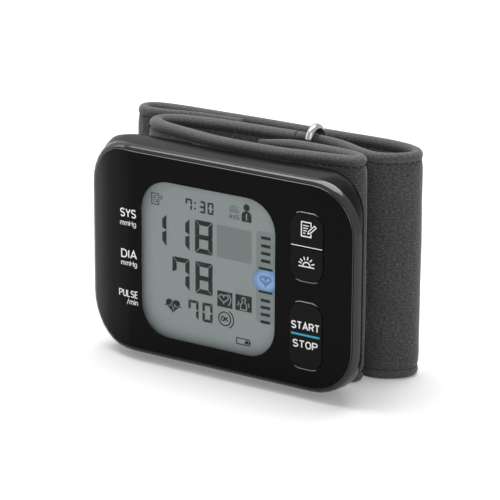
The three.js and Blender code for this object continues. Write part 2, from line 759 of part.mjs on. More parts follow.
function frontCase() {
  const sections = [{ inset: SHOULDER_INSET, depth: -OVERCUT, follow: 0 }];
  for (let step = SHOULDER_STEPS; step >= 0; step--) {
    const angle = (step / SHOULDER_STEPS) * (Math.PI / 2);
    const rise = (PARTING_DEPTH - PARTING_GROOVE - LIP_DEPTH) * Math.sin(angle);
    const inset = SHOULDER_INSET * (1 - Math.cos(angle));
    sections.push({ inset, depth: PARTING_DEPTH - PARTING_GROOVE - rise, follow: 1 });
  }
  sections.push({ inset: PARTING_GROOVE, depth: PARTING_DEPTH, follow: 1 });
  sections.push({ inset: PARTING_GROOVE, depth: PARTING_DEPTH + OVERCUT, follow: 1 });
  const outer = solid(faceLoft(sections))
    .subtract(solid(inFront(LIP_DEPTH)))
    .intersect(solid(inFront(PARTING_DEPTH)));
  const deep = PARTING_DEPTH + 2 * TURN_DEPTH;
  const pocket = solid(plate(bodyOutline(PANEL_INSET - FIT), -OVERCUT, deep)).intersect(
    solid(inFront(CHASSIS_FRONT)),
  );
  const inside = solid(plate(bodyOutline(WALL), 0, deep)).subtract(solid(inFront(CHASSIS_BACK)));
  const glassHole = roundedOutline(
    GLASS_WIDTH + 2 * CLEARANCE,
    GLASS_HEIGHT + 2 * CLEARANCE,
    CLEARANCE,
    WINDOW_X,
    WINDOW_Z,
  );
  const keyRoom = KEY_WIDTH + 2 * KEY_FLANGE + 2 * CLEARANCE;
  const grow = KEY_FLANGE + CLEARANCE;
  const upperRoom = keyOutline(KEY_X, keyRoom, UPPER_KEYS_BOTTOM - grow, UPPER_KEYS_TOP + grow);
  const startRoom = keyOutline(KEY_X, keyRoom, START_KEY_BOTTOM - grow, START_KEY_TOP + grow);
  const hollow = geometryOf(outer.subtract(pocket).subtract(inside));
  const chassisMiddle = CHASSIS_FRONT + CHASSIS_THICKNESS / 2;
  const posts = SCREWS.map(([x, z]) =>
    depthBar(POST_RADIUS, x, z, chassisMiddle + faceDepth(x), POST_END),
  );
  const pilots = SCREWS.map(([x, z]) =>
    depthBar(PILOT_RADIUS, x, z, CHASSIS_BACK + faceDepth(x), POST_END + 1),
  );
  const holes = [glassHole, upperRoom, startRoom].map((hole) => plate(hole, 0, PARTING_DEPTH));
  return shaped(hollow, { add: posts, cut: [...holes, ...pilots] });
}

function frontPanel() {
  const edge = [{ inset: PANEL_INSET + PANEL_EDGE, depth: -OVERCUT, follow: 0 }];
  for (let step = 0; step <= SHOULDER_STEPS; step++) {
    const angle = (step / SHOULDER_STEPS) * (Math.PI / 2);
    const inset = PANEL_INSET + PANEL_EDGE * (1 - Math.sin(angle));
    edge.push({ inset, depth: PANEL_EDGE * (1 - Math.cos(angle)) - 0.02, follow: 1 });
  }
  edge.push({ inset: PANEL_INSET, depth: PANEL_THICKNESS + OVERCUT, follow: 1 });
  const body = solid(faceLoft(edge))
    .subtract(solid(inFront(0)))
    .intersect(solid(inFront(PANEL_THICKNESS)));
  const opening = windowOutline(0);
  const rebate = windowOutline(LENS_FLANGE + FIT);
  const keyHole = KEY_WIDTH + 2 * FIT;
  const upper = keyOutline(KEY_X, keyHole, UPPER_KEYS_BOTTOM - FIT, UPPER_KEYS_TOP + FIT);
  const start = keyOutline(KEY_X, keyHole, START_KEY_BOTTOM - FIT, START_KEY_TOP + FIT);
  return shaped(geometryOf(body), {
    cut: [
      plate(opening, -1, PANEL_THICKNESS + 1),
      plate(rebate, PANEL_THICKNESS - LENS_FLANGE_THICKNESS - FIT, PANEL_THICKNESS + 1),
      plate(upper, -1, PANEL_THICKNESS + 1),
      plate(start, -1, PANEL_THICKNESS + 1),
    ],
  });
}

function windowOutline(grow) {
  return roundedOutline(
    WINDOW_WIDTH + 2 * grow,
    WINDOW_HEIGHT + 2 * grow,
    WINDOW_CORNER + grow,
    WINDOW_X,
    WINDOW_Z,
  );
}

function displayLens() {
  const flangeFront = PANEL_THICKNESS - LENS_FLANGE_THICKNESS;
  const overlap = LENS_FLANGE_THICKNESS / 2;
  return shaped(plate(windowOutline(-FIT), 0, flangeFront + overlap), {
    add: [plate(windowOutline(LENS_FLANGE), flangeFront, PANEL_THICKNESS)],
  });
}

// Two glass plates, the front one shorter so that its partner's contact edge is bare.
function lcdPanel() {
  const left = WINDOW_X - GLASS_WIDTH / 2;
  const bottom = WINDOW_Z - GLASS_HEIGHT / 2;
  const frontPlate = block([left, GLASS_MIDDLE - 0.1, bottom], [
    left + GLASS_WIDTH,
    GLASS_BACK,
    bottom + GLASS_HEIGHT,
  ]);
  const backPlate = block([left, GLASS_FRONT, bottom], [
    left + GLASS_WIDTH,
    GLASS_MIDDLE,
    bottom + GLASS_HEIGHT,
  ]);
  const bareEdge = block([left - 1, GLASS_MIDDLE, bottom - 1], [
    left + GLASS_WIDTH + 1,
    GLASS_BACK + 1,
    bottom + GLASS_LEDGE,
  ]);
  return shaped(frontPlate, { add: [backPlate], cut: [bareEdge] });
}

// Corners where the display frame is pinned to the board.
function framePins(radius, front, back) {
  const places = [];
  const x = GLASS_WIDTH / 2 - FRAME_PIN_INSET;
  const z = GLASS_HEIGHT / 2 - FRAME_PIN_INSET;
  for (const sideX of [-1, 1]) {
    for (const sideZ of [-1, 1]) {
      const pinX = Math.min(WINDOW_X + sideX * x, BOARD_RIGHT - FRAME_PIN_INSET);
      places.push(depthBar(radius, pinX, WINDOW_Z + sideZ * z, front, back, WIRE_SIDES));
    }
  }
  return places;
}

// Slot along the lower edge of the display for its contact strip.
function connectorSlot(gap, front, back) {
  const half = GLASS_WIDTH / 2 - 6;
  const bottom = WINDOW_Z - GLASS_HEIGHT / 2 + 0.4;
  const top = bottom + GLASS_LEDGE - 0.8;
  return block(
    [WINDOW_X - half - gap, front, bottom - gap],
    [WINDOW_X + half + gap, back, top + gap],
  );
}

function lightBlock(gap, front, back) {
  const half = LIGHT_SIZE / 2 + gap;
  return block([LIGHT_X - half, front, LIGHT_Z - half], [LIGHT_X + half, back, LIGHT_Z + half]);
}

function lcdFrame() {
  const outline = roundedOutline(
    GLASS_WIDTH + 2 * FRAME_RIM,
    GLASS_HEIGHT + 2 * FRAME_RIM,
    FRAME_RIM,
    WINDOW_X,
    WINDOW_Z,
  );
  const lightening = roundedOutline(
    GLASS_WIDTH - 8 * FRAME_RIM,
    GLASS_HEIGHT - 8 * FRAME_RIM,
    FRAME_RIM,
    WINDOW_X,
    WINDOW_Z,
  );
  const besideBay = block(
    [COVER_LEFT - CLEARANCE, FRAME_FRONT - 1, -BODY_HEIGHT / 2],
    [BODY_RIGHT, FRAME_BACK + 1, BODY_HEIGHT / 2],
  );
  return shaped(plate(outline, FRAME_FRONT, FRAME_BACK), {
    add: framePins(FRAME_PIN_RADIUS, FRAME_BACK - 0.5, BOARD_BACK + 0.4),
    cut: [
      besideBay,
      plate(lightening, (FRAME_FRONT + FRAME_BACK) / 2, FRAME_BACK + 1),
      connectorSlot(FIT, FRAME_FRONT - 1, FRAME_BACK + 1),
      lightBlock(FIT, FRAME_FRONT - 1, FRAME_BACK + 1),
    ],
  });
}

function mainBoard() {
  const outline = roundedOutline(
    BOARD_RIGHT - BOARD_LEFT,
    BOARD_TOP - BOARD_BOTTOM,
    1.5,
    (BOARD_RIGHT + BOARD_LEFT) / 2,
    (BOARD_TOP + BOARD_BOTTOM) / 2,
  );
  return shaped(plate(outline, BOARD_FRONT, BOARD_BACK), {
    cut: framePins(FRAME_PIN_RADIUS + FIT, BOARD_FRONT - 1, BOARD_BACK + 1),
  });
}

// Key cap with a flange behind the panel that keeps it in its hole.
function key(bottom, top, rounds) {
  const cap = keyOutline(KEY_X, KEY_WIDTH, bottom, top, rounds);
  const low = bottom - (rounds.roundBottom === false ? 0 : KEY_FLANGE);
  const high = top + (rounds.roundTop === false ? 0 : KEY_FLANGE);
  const flange = keyOutline(KEY_X, KEY_WIDTH + 2 * KEY_FLANGE, low, high, rounds);
  return shaped(plate(cap, -KEY_PROUD, KEY_FLANGE_BACK, KEY_EDGE), {
    add: [plate(flange, KEY_FLANGE_FRONT, KEY_FLANGE_BACK)],
  });
}

// Shallow metal snap disc with its crown towards the key.
function snapDome(z) {
  const profile = [
    [0, 0],
    [DOME_RADIUS, 0],
    [DOME_RADIUS * 0.55, DOME_HEIGHT * 0.8],
    [0, DOME_HEIGHT],
  ];
  const dome = new THREE.LatheGeometry(profile.map(vector2), SMALL_ROUND_STEPS);
  return dome.rotateZ(Math.PI).translate(KEY_X, SHEET_FRONT, z);
}

function keySheet() {
  const half = KEY_WIDTH / 2 + SHEET_MARGIN;
  const outline = roundedOutline(
    2 * half,
    UPPER_KEYS_TOP - START_KEY_BOTTOM,
    SHEET_MARGIN,
    KEY_X,
    (UPPER_KEYS_TOP + START_KEY_BOTTOM) / 2,
  );
  return plate(outline, SHEET_FRONT, SHEET_BACK);
}

function chip(width, height, thickness, x, z) {
  return plate(roundedOutline(width, height, 0.4, x, z), BOARD_BACK, BOARD_BACK + thickness);
}

function cell(x, up) {
  const body = CELL_LENGTH - CELL_NUB_LENGTH;
  const edge = 0.4;
  const profile = [
    [0, 0],
    [CELL_RADIUS - edge, 0],
    [CELL_RADIUS, edge],
    [CELL_RADIUS, body - edge],
    [CELL_RADIUS - edge, body],
    [CELL_NUB_RADIUS, body],
    [CELL_NUB_RADIUS, CELL_LENGTH],
    [0, CELL_LENGTH],
  ];
  const lathe = new THREE.LatheGeometry(profile.map(vector2), ROUND_STEPS);
  lathe.rotateX(Math.PI / 2).translate(0, 0, -CELL_LENGTH / 2);
  if (!up) {
    lathe.rotateX(Math.PI);
  }
  return lathe.translate(x, CELL_Y, 0);
}

// Contact sheet at one end of the bay, with a pressed boss for each positive nub it meets.
function contact(left, right, end, bosses) {
  const wall = BAY_HALF_HEIGHT - 0.05;
  const low = [left, CELL_Y - CONTACT_WIDTH / 2, wall - CONTACT_THICKNESS];
  const high = [right, CELL_Y + CONTACT_WIDTH / 2, wall];
  const reach = BAY_HALF_HEIGHT - 0.1;
  const raised = bosses.map((x) =>
    column(circle(CELL_NUB_RADIUS, x, CELL_Y, SMALL_ROUND_STEPS), CELL_LENGTH / 2 + 0.1, reach),
  );
  const sheet = shaped(block(low, high), { add: raised });
  if (end < 0) {
    sheet.translate(0, -CELL_Y, 0).rotateX(Math.PI).translate(0, CELL_Y, 0);
  }
  return sheet;
}

// Cone-shaped coil between a contact sheet and a cell's flat end.
class ConeCoil extends THREE.Curve {
  constructor(x, start, end) {
    super();
    this.x = x;
    this.start = start;
    this.end = end;
  }

  getPoint(t, target = new THREE.Vector3()) {
    const angle = t * SPRING_TURNS * 2 * Math.PI;
    const radius = THREE.MathUtils.lerp(SPRING_WIDE, SPRING_NARROW, t);
    const z = THREE.MathUtils.lerp(this.start, this.end, t);
    return target.set(this.x + radius * Math.cos(angle), CELL_Y + radius * Math.sin(angle), z);
  }
}

function coneSpring(x, end) {
  const sheet = BAY_HALF_HEIGHT - 0.05 - CONTACT_THICKNESS;
  const start = end * (sheet - SPRING_WIRE - 0.1);
  const stop = end * (CELL_LENGTH / 2 + SPRING_WIRE + 0.1);
  return new THREE.ExtrudeGeometry(new THREE.Shape(circle(SPRING_WIRE, 0, 0, 5)), {
    extrudePath: new ConeCoil(x, start, stop),
    steps: 8 * SPRING_TURNS,
    bevelEnabled: false,
  });
}

function screw(x, z) {
  const seat = POST_END + SCREW_FLOOR + 0.05;
  const profile = [
    [0, -SCREW_LENGTH],
    [SCREW_RADIUS, -SCREW_LENGTH + SCREW_RADIUS],
    [SCREW_RADIUS, 0],
    [SCREW_HEAD_RADIUS, 0],
    [SCREW_HEAD_RADIUS, SCREW_HEAD_HEIGHT * 0.6],
    [SCREW_HEAD_RADIUS * 0.6, SCREW_HEAD_HEIGHT],
    [0, SCREW_HEAD_HEIGHT],
  ];
  const turned = new THREE.LatheGeometry(profile.map(vector2), SMALL_ROUND_STEPS);
  return turned.translate(x, seat, z);
}

function motorOutline() {
  const half = Math.acos(MOTOR_FLAT / MOTOR_RADIUS);
  const points = [];
  for (const side of [0, Math.PI]) {
    for (let step = 0; step <= CORNER_STEPS; step++) {
      const angle = side - Math.PI / 2 + half + (step / CORNER_STEPS) * (Math.PI - 2 * half);
      const x = PUMP_X + MOTOR_RADIUS * Math.cos(angle);
      points.push(new THREE.Vector2(x, PUMP_Y + MOTOR_RADIUS * Math.sin(angle)));
    }
  }
  return points;
}

function pumpMotor() {
  const bore = circle(SHAFT_RADIUS + 0.1, PUMP_X, PUMP_Y, SMALL_ROUND_STEPS);
  return shaped(column(motorOutline(), MOTOR_BOTTOM, MOTOR_TOP), {
    cut: [column(bore, MOTOR_TOP - SHAFT_DEPTH - CLEARANCE, MOTOR_TOP + 1)],
  });
}

// Motor shaft with the off-centre cam that works the pump's diaphragm.
function pumpRotor() {
  const camBottom = HEAD_BOTTOM + CLEARANCE;
  const shaft = circle(SHAFT_RADIUS, PUMP_X, PUMP_Y, SMALL_ROUND_STEPS);
  const cam = circle(CAM_RADIUS, PUMP_X + CAM_OFFSET, PUMP_Y, ROUND_STEPS);
  return shaped(column(shaft, MOTOR_TOP - SHAFT_DEPTH, camBottom + CAM_HEIGHT / 2), {
    add: [column(cam, camBottom, camBottom + CAM_HEIGHT)],
  });
}

function pumpHead() {
  const outline = roundedOutline(HEAD_WIDTH, HEAD_DEPTH, 1.6, PUMP_X, PUMP_Y);
  const chamber = circle(HEAD_CHAMBER_RADIUS, PUMP_X, PUMP_Y, ROUND_STEPS);
  const right = PUMP_X + HEAD_WIDTH / 2;
  const nozzleZ = HEAD_TOP - 3;
  return shaped(column(outline, HEAD_BOTTOM, HEAD_TOP), {
    add: [sideBar(NOZZLE_RADIUS, PUMP_Y, nozzleZ, right - 1, right + NOZZLE_LENGTH)],
    cut: [column(chamber, HEAD_BOTTOM - 1, HEAD_BOTTOM + HEAD_CHAMBER_DEPTH)],
  });
}

function valveBody() {
  const outline = roundedOutline(VALVE_WIDTH, VALVE_DEPTH, 1.2, PUMP_X, PUMP_Y);
  const bore = circle(PLUNGER_RADIUS + CLEARANCE, PUMP_X, PUMP_Y, SMALL_ROUND_STEPS);
  const boreBottom = VALVE_TOP + PLUNGER_PROUD - PLUNGER_LENGTH - PLUNGER_TRAVEL - CLEARANCE;
  const right = PUMP_X + VALVE_WIDTH / 2;
  const nozzleZ = (VALVE_BOTTOM + VALVE_TOP) / 2;
  return shaped(column(outline, VALVE_BOTTOM, VALVE_TOP), {
    add: [sideBar(NOZZLE_RADIUS, PUMP_Y, nozzleZ, right - 1, right + NOZZLE_LENGTH)],
    cut: [column(bore, boreBottom, VALVE_TOP + 1)],
  });
}

function valvePlunger() {
  const top = VALVE_TOP + PLUNGER_PROUD;
  const stem = circle(PLUNGER_RADIUS, PUMP_X, PUMP_Y, SMALL_ROUND_STEPS);
  return column(stem, top - PLUNGER_LENGTH, top);
}

// Heights of the manifold's side nozzles: the pump below, the valve above.
const MANIFOLD_PUMP_Z = -MANIFOLD_HEIGHT / 4;
const MANIFOLD_VALVE_Z = MANIFOLD_HEIGHT / 4;

function airManifold() {
  const left = SPOUT_X - MANIFOLD_WIDTH / 2;
  const outline = roundedOutline(MANIFOLD_WIDTH, MANIFOLD_HEIGHT, 1.2, SPOUT_X, 0);
  const top = MANIFOLD_HEIGHT / 2;
  const upward = circle(NOZZLE_RADIUS, SPOUT_X, MANIFOLD_Y, WIRE_SIDES);
  const spoutEnd = SEAT_FLOOR + CUFF_PLATE_THICKNESS;
  return shaped(plate(outline, MANIFOLD_FRONT, MANIFOLD_BACK), {
    add: [
      sideBar(NOZZLE_RADIUS, MANIFOLD_Y, MANIFOLD_PUMP_Z, left - NOZZLE_LENGTH, left + 1),
      sideBar(NOZZLE_RADIUS, MANIFOLD_Y, MANIFOLD_VALVE_Z, left - NOZZLE_LENGTH, left + 1),
      column(upward, top - 1, top + NOZZLE_LENGTH),
      depthBar(SPOUT_RADIUS, SPOUT_X, 0, MANIFOLD_BACK - 1, spoutEnd),
    ],
    cut: [depthBar(SPOUT_BORE, SPOUT_X, 0, MANIFOLD_BACK - 2, spoutEnd + 1)],
  });
}

function pressureSensor() {
  const bottom = MANIFOLD_HEIGHT / 2 + SENSOR_ABOVE_MANIFOLD;
  const middle = bottom + SENSOR_HEIGHT / 2;
  const outline = roundedOutline(SENSOR_WIDTH, SENSOR_HEIGHT, 0.5, SPOUT_X, middle);
  const nozzle = circle(NOZZLE_RADIUS, SPOUT_X, MANIFOLD_Y, WIRE_SIDES);
  return shaped(plate(outline, BOARD_BACK, BOARD_BACK + SENSOR_THICKNESS + 1), {
    add: [column(nozzle, bottom - NOZZLE_LENGTH, bottom + 1)],
  });
}

// Soft tube with its bore, along a curve.
function tube(curve, steps) {
  const section = new THREE.Shape(circle(TUBE_RADIUS, 0, 0, WIRE_SIDES));
  section.holes.push(new THREE.Path(circle(TUBE_BORE, 0, 0, WIRE_SIDES)));
  const options = { extrudePath: curve, steps, bevelEnabled: false };
  return new THREE.ExtrudeGeometry(section, options);
}

// Tube from a piece in the left end of the housing across to the manifold.
function crossTube(left, leftZ, manifoldZ) {
  const start = new THREE.Vector3(left + CLEARANCE, PUMP_Y, leftZ);
  const right = SPOUT_X - MANIFOLD_WIDTH / 2 - CLEARANCE;
  const end = new THREE.Vector3(right, MANIFOLD_Y, manifoldZ);
  const lead = (end.x - start.x) * 0.45;
  const startLead = start.clone().setX(start.x + lead);
  const endLead = end.clone().setX(end.x - lead);
  return tube(new THREE.CubicBezierCurve3(start, startLead, endLead, end), 10);
}

function sensorTube() {
  const bottom = MANIFOLD_HEIGHT / 2 + CLEARANCE;
  const top = MANIFOLD_HEIGHT / 2 + SENSOR_ABOVE_MANIFOLD - CLEARANCE;
  const start = new THREE.Vector3(SPOUT_X, MANIFOLD_Y, bottom);
  return tube(new THREE.LineCurve3(start, start.clone().setZ(top)), 1);
}

function cuffPlate() {
  const width = SEAT_RIGHT - SEAT_LEFT - 2 * CUFF_PLATE_MARGIN;
  const middle = (SEAT_RIGHT + SEAT_LEFT) / 2;
  const outline = roundedOutline(width, CUFF_PLATE_HEIGHT, 3, middle, 0);
  const back = SEAT_FLOOR + CUFF_PLATE_THICKNESS;
  return shaped(plate(outline, SEAT_FLOOR, back), {
    cut: [depthBar(SPOUT_RADIUS + FIT, SPOUT_X, 0, SEAT_FLOOR - 1, back + 1)],
  });
}

// Stations along a plan curve, closer where it bends: place, sideways direction and share.
function stations(path) {
  const points = path.map(([x, y]) => new THREE.Vector3(x, y, 0));
  const curve = new THREE.CatmullRomCurve3(points, false, "centripetal");
  const fine = 40 * path.length;
  const kept = [];
  let turned = 0;
  let walked = 0;
  let before = curve.getTangentAt(0);
  const length = curve.getLength();
  for (let i = 0; i <= fine; i++) {
    const tangent = curve.getTangentAt(i / fine);
    turned += tangent.angleTo(before);
    walked += length / fine;
    before = tangent;
    const bends = turned > radians(CUFF_STEP_ANGLE) || walked > CUFF_STEP_LENGTH;
    if (i === 0 || i === fine || (bends && i < fine - 20)) {
      const place = curve.getPointAt(i / fine);
      const side = new THREE.Vector3(-tangent.y, tangent.x, 0).normalize();
      kept.push({ place, side, share: i / fine });
      turned = 0;
      walked = 0;
    }
  }
  return kept;
}

// Half outline of the band's section from its flat lower edge up to its crown: a rounded bead
// along each edge, a sewn groove beside it and a slightly fuller middle.
function bandSide(half, bottom, top) {
  const flat = Math.sqrt(Math.max(half ** 2 - (half - CUFF_FLAT) ** 2, 0));
  const full = half * (1 + CUFF_SWELL / CUFF_BODY_THICKNESS);
  const groove = half - (CUFF_GROOVE * 2 * half) / CUFF_BODY_THICKNESS;
  const bead = CUFF_BEAD;
  return [
    [flat, bottom],
    [half, bottom + bead * 0.4],
    [groove, bottom + bead],
    [full, bottom + 3 * bead],
    [full, top - 3 * bead],
    [groove, top - bead],
    [half, top - bead * 0.5],
    [half * 0.55, top],
  ];
}

// Padded band swept along its plan curve.
function band(path, thicknessAt, bottomAt) {
  const rings = [];
  let flat = [];
  for (const { place, side, share } of stations(path)) {
    const half = thicknessAt(share, place) / 2;
    const edge = bandSide(half, bottomAt(place, share), CUFF_TOP);
    const around = [...edge, ...edge.map(([out, z]) => [-out, z]).reverse()];
    rings.push(
      around.map(([out, z]) => place.clone().addScaledVector(side, out).setZ(z)),
    );
    flat = flat.length ? flat : around.map(vector2);
  }
  return skin(rings, flat);
}

// Thin layer inside the padded body between two offsets from its middle.
function layer(inner, outer, height) {
  const within = stations(CUFF_BODY_PATH).filter(({ share }) => share > POCKET_START && share < POCKET_END);
  const outline = [
    [inner, -height / 2],
    [outer, -height / 2],
    [outer, height / 2],
    [inner, height / 2],
  ];
  const rings = within.map(({ place, side }) =>
    outline.map(([out, z]) => place.clone().addScaledVector(side, out).setZ(z)),
  );
  return skin(rings, outline.map(vector2));
}

// Side of the padded body's middle line that faces the housing.
const HOUSING_SIDE = 1;
const POCKET_HALF = POCKET_THICKNESS / 2;
const CURLER_OUTER = HOUSING_SIDE * (POCKET_HALF - FIT);
const CURLER_INNER = CURLER_OUTER - HOUSING_SIDE * CURLER_THICKNESS;
const BLADDER_INNER = -HOUSING_SIDE * (POCKET_HALF - FIT);
const BLADDER_OUTER = BLADDER_INNER + HOUSING_SIDE * BLADDER_THICKNESS;

function stemHole(radius) {
  const front = SEAT_FLOOR;
  const back = CUFF_BODY_PATH[14][1] - CURLER_INNER + FIT;
  return depthBar(radius, SPOUT_X, 0, front, back);
}

function cuffBody() {
  const thickness = (share) => {
    const nose = Math.min(1, CUFF_NOSE + (1 - CUFF_NOSE) * (share / 0.05));
    return CUFF_BODY_THICKNESS * nose;
  };
  const padded = band(CUFF_BODY_PATH, thickness, () => CUFF_BOTTOM);
  return shaped(padded, {
    cut: [layer(-POCKET_HALF, POCKET_HALF, POCKET_HEIGHT), stemHole(STEM_RADIUS + FIT)],
  });
}

function curlerSheet() {
  const sheet = layer(CURLER_INNER, CURLER_OUTER, POCKET_HEIGHT - 2 * CLEARANCE);
  return shaped(sheet, { cut: [stemHole(STEM_RADIUS + FIT)] });
}

function airBladder() {
  const bag = layer(BLADDER_INNER, BLADDER_OUTER, POCKET_HEIGHT - 2 * CLEARANCE);
  const front = SEAT_FLOOR + CUFF_PLATE_THICKNESS + FIT;
  const back = CUFF_BODY_PATH[14][1] - BLADDER_OUTER + BLADDER_THICKNESS / 2;
  return shaped(bag, { add: [depthBar(STEM_RADIUS, SPOUT_X, 0, front, back)] });
}

function cuffStrap() {
  const thickness = (share) => {
    const tail = THREE.MathUtils.smoothstep(share, 0.8, 0.92);
    return CUFF_STRAP_THICKNESS * (1 - (1 - CUFF_TAIL) * tail);
  };
  const bottom = (place, share) => {
    const leaving = THREE.MathUtils.smoothstep(place.x, NECK_END_X - 4, NECK_END_X);
    return CUFF_BOTTOM + (share < 0.2 ? NECK_RISE * (1 - leaving) : 0);
  };
  return band(CUFF_STRAP_PATH, thickness, bottom);
}

function hookTongue() {
  const half = TONGUE_THICKNESS / 2;
  const outline = [
    [-half, -TONGUE_HEIGHT / 2],
    [half, -TONGUE_HEIGHT / 2],
    [half, TONGUE_HEIGHT / 2],
    [-half, TONGUE_HEIGHT / 2],
  ];
  const rings = stations(TONGUE_PATH).map(({ place, side }) =>
    outline.map(([out, z]) => place.clone().addScaledVector(side, out).setZ(z)),
  );
  return skin(rings, outline.map(vector2));
}

// Ring of round wire that stands across the strap: square foot, arched head.
function strapRing() {
  const arch = (RING_REAR_Y - RING_FRONT_Y) / 2;
  const foot = CUFF_BOTTOM + NECK_RISE - RING_BOTTOM_GAP - RING_WIRE_RADIUS;
  const head = CUFF_TOP + RING_ABOVE_CUFF - RING_WIRE_RADIUS - arch;
  const corner = RING_FOOT_CORNER;
  const loop = new THREE.Path();
  loop.moveTo(RING_REAR_Y, foot + corner);
  loop.lineTo(RING_REAR_Y, head);
  loop.absarc(RING_FRONT_Y + arch, head, arch, 0, Math.PI);
  loop.lineTo(RING_FRONT_Y, foot + corner);
  loop.absarc(RING_FRONT_Y + corner, foot + corner, corner, Math.PI, 1.5 * Math.PI);
  loop.lineTo(RING_REAR_Y - corner, foot);
  loop.absarc(RING_REAR_Y - corner, foot + corner, corner, 1.5 * Math.PI, 2 * Math.PI);
  const flat = loop.getPoints(CORNER_STEPS);
  const points = flat.filter((point, i) => i === 0 || point.distanceTo(flat[i - 1]) > 0.01);
  if (points[0].distanceTo(points[points.length - 1]) < 0.01) {
    points.pop();
  }
  const middle = points.length;
  const rings = points.map((point, i) => {
    const ahead = points[(i + 1) % middle].clone().sub(point).normalize();
    const behind = point.clone().sub(points[(i + middle - 1) % middle]).normalize();
    const along = ahead.add(behind).normalize();
    const out = new THREE.Vector3(0, along.y, -along.x);
    const across = new THREE.Vector3(1, 0, 0);
    return circle(RING_WIRE_RADIUS, 0, 0, WIRE_SIDES).map((spot) =>
      new THREE.Vector3(RING_X, point.x, point.y)
        .addScaledVector(across, spot.x)
        .addScaledVector(out, spot.y),
    );
  });
  return hoop(rings);
}

// Closed skin over rings that run round and meet themselves.
function hoop(rings) {
  const count = rings[0].length;
  const total = rings.length * count;
  const positions = rings.flatMap((ring) => ring.flatMap((point) => point.toArray()));
  const index = [];
  for (let ring = 0; ring < rings.length; ring++) {
    for (let point = 0; point < count; point++) {
      const a = ring * count + point;
      const b = ring * count + ((point + 1) % count);
      const c = (b + count) % total;
      const d = (a + count) % total;
      index.push(a, b, c, a, c, d);
    }
  }
  const geometry = new THREE.BufferGeometry();
  geometry.setAttribute("position", new THREE.Float32BufferAttribute(positions, 3));
  geometry.setIndex(index);
  return geometry;
}

// Webbing loop on the back of the cuff's free end that holds the ring's front leg.
function ringTab() {
  const bore = RING_WIRE_RADIUS + CLEARANCE;
  const wall = bore + TAB_WALL;
  const half = TAB_HEIGHT / 2;
  const sleeve = column(circle(wall, RING_X, RING_FRONT_Y, SMALL_ROUND_STEPS), -half, half);
  const base = block(
    [RING_X - TAB_BASE_WIDTH / 2, RING_FRONT_Y - wall, -half],
    [RING_X + TAB_BASE_WIDTH / 2, RING_FRONT_Y - wall + TAB_WALL, half],
  );
  const hole = column(
    circle(bore, RING_X, RING_FRONT_Y, SMALL_ROUND_STEPS),
    -half - 1,
    half + 1,
  );
  return shaped(sleeve, { add: [base], cut: [hole] });
}

// Finishes
const FINISHES = {
  glossBlack: { color: 0x17181a, roughness: 0.12, metalness: 0 },
  satinBlack: { color: 0x26272a, roughness: 0.45, metalness: 0 },
  keyBlack: { color: 0x1b1c1e, roughness: 0.25, metalness: 0 },
  clear: { color: 0xdfe6e4, roughness: 0.05, metalness: 0, transparent: true, opacity: 0.25 },
  display: { color: 0x9aa6a2, roughness: 0.35, metalness: 0 },
  white: { color: 0xe6e6e2, roughness: 0.6, metalness: 0 },
  board: { color: 0x1f5a3a, roughness: 0.5, metalness: 0 },
  film: { color: 0xb98a3c, roughness: 0.4, metalness: 0 },
  chipBlack: { color: 0x202022, roughness: 0.6, metalness: 0 },
  steel: { color: 0xb8bcc0, roughness: 0.3, metalness: 0.9 },
  blueLight: { color: 0x4f8fe0, roughness: 0.3, metalness: 0 },
  cellJacket: { color: 0x8c9094, roughness: 0.35, metalness: 0.6 },
  brass: { color: 0xc9a24a, roughness: 0.3, metalness: 0.9 },
  grey: { color: 0x8f9296, roughness: 0.55, metalness: 0 },
  tubing: { color: 0xd8dcd8, roughness: 0.5, metalness: 0 },
  rubber: { color: 0x3a3a3c, roughness: 0.8, metalness: 0 },
  fabric: { color: 0x48494b, roughness: 0.95, metalness: 0 },
  hook: { color: 0x2a2a2c, roughness: 0.9, metalness: 0 },
  chrome: { color: 0xd8dadc, roughness: 0.1, metalness: 1 },
};

const monitor = new THREE.Group();

function place(name, geometry, finish) {
  const mesh = new THREE.Mesh(geometry, new THREE.MeshStandardMaterial(FINISHES[finish]));
  mesh.name = name;
  monitor.add(mesh);
}

// Housing
place("front_panel", frontPanel(), "glossBlack");
place("front_case", frontCase(), "satinBlack");
place("rear_case", rearCase(), "satinBlack");
place("battery_cover", batteryCover(), "satinBlack");
SCREWS.forEach(([x, z], i) => place(`case_screw_${i + 1}`, screw(x, z), "steel"));

// Display
place("display_lens", displayLens(), "clear");
place("lcd_panel", lcdPanel(), "display");
place("lcd_frame", lcdFrame(), "white");
place("lcd_connector", connectorSlot(0, GLASS_MIDDLE + 0.05, FRAME_BACK), "rubber");
place("position_light", lightBlock(0, FRAME_FRONT, FRAME_BACK), "blueLight");

// Keys
const halfSplit = KEY_SPLIT / 2;
const memoryMiddle = (UPPER_KEYS_TOP + UPPER_KEYS_DIVIDE) / 2;
const morningMiddle = (UPPER_KEYS_BOTTOM + UPPER_KEYS_DIVIDE) / 2;
const startMiddle = (START_KEY_TOP + START_KEY_BOTTOM) / 2;
const flatBottom = { roundBottom: false };
const flatTop = { roundTop: false };
place("memory_key", key(UPPER_KEYS_DIVIDE + halfSplit, UPPER_KEYS_TOP, flatBottom), "keyBlack");
place("morning_key", key(UPPER_KEYS_BOTTOM, UPPER_KEYS_DIVIDE - halfSplit, flatTop), "keyBlack");
place("start_stop_key", key(START_KEY_BOTTOM, START_KEY_TOP, {}), "keyBlack");
place("memory_dome", snapDome(memoryMiddle), "steel");
place("morning_dome", snapDome(morningMiddle), "steel");
place("start_stop_dome", snapDome(startMiddle), "steel");
place("key_sheet", keySheet(), "film");

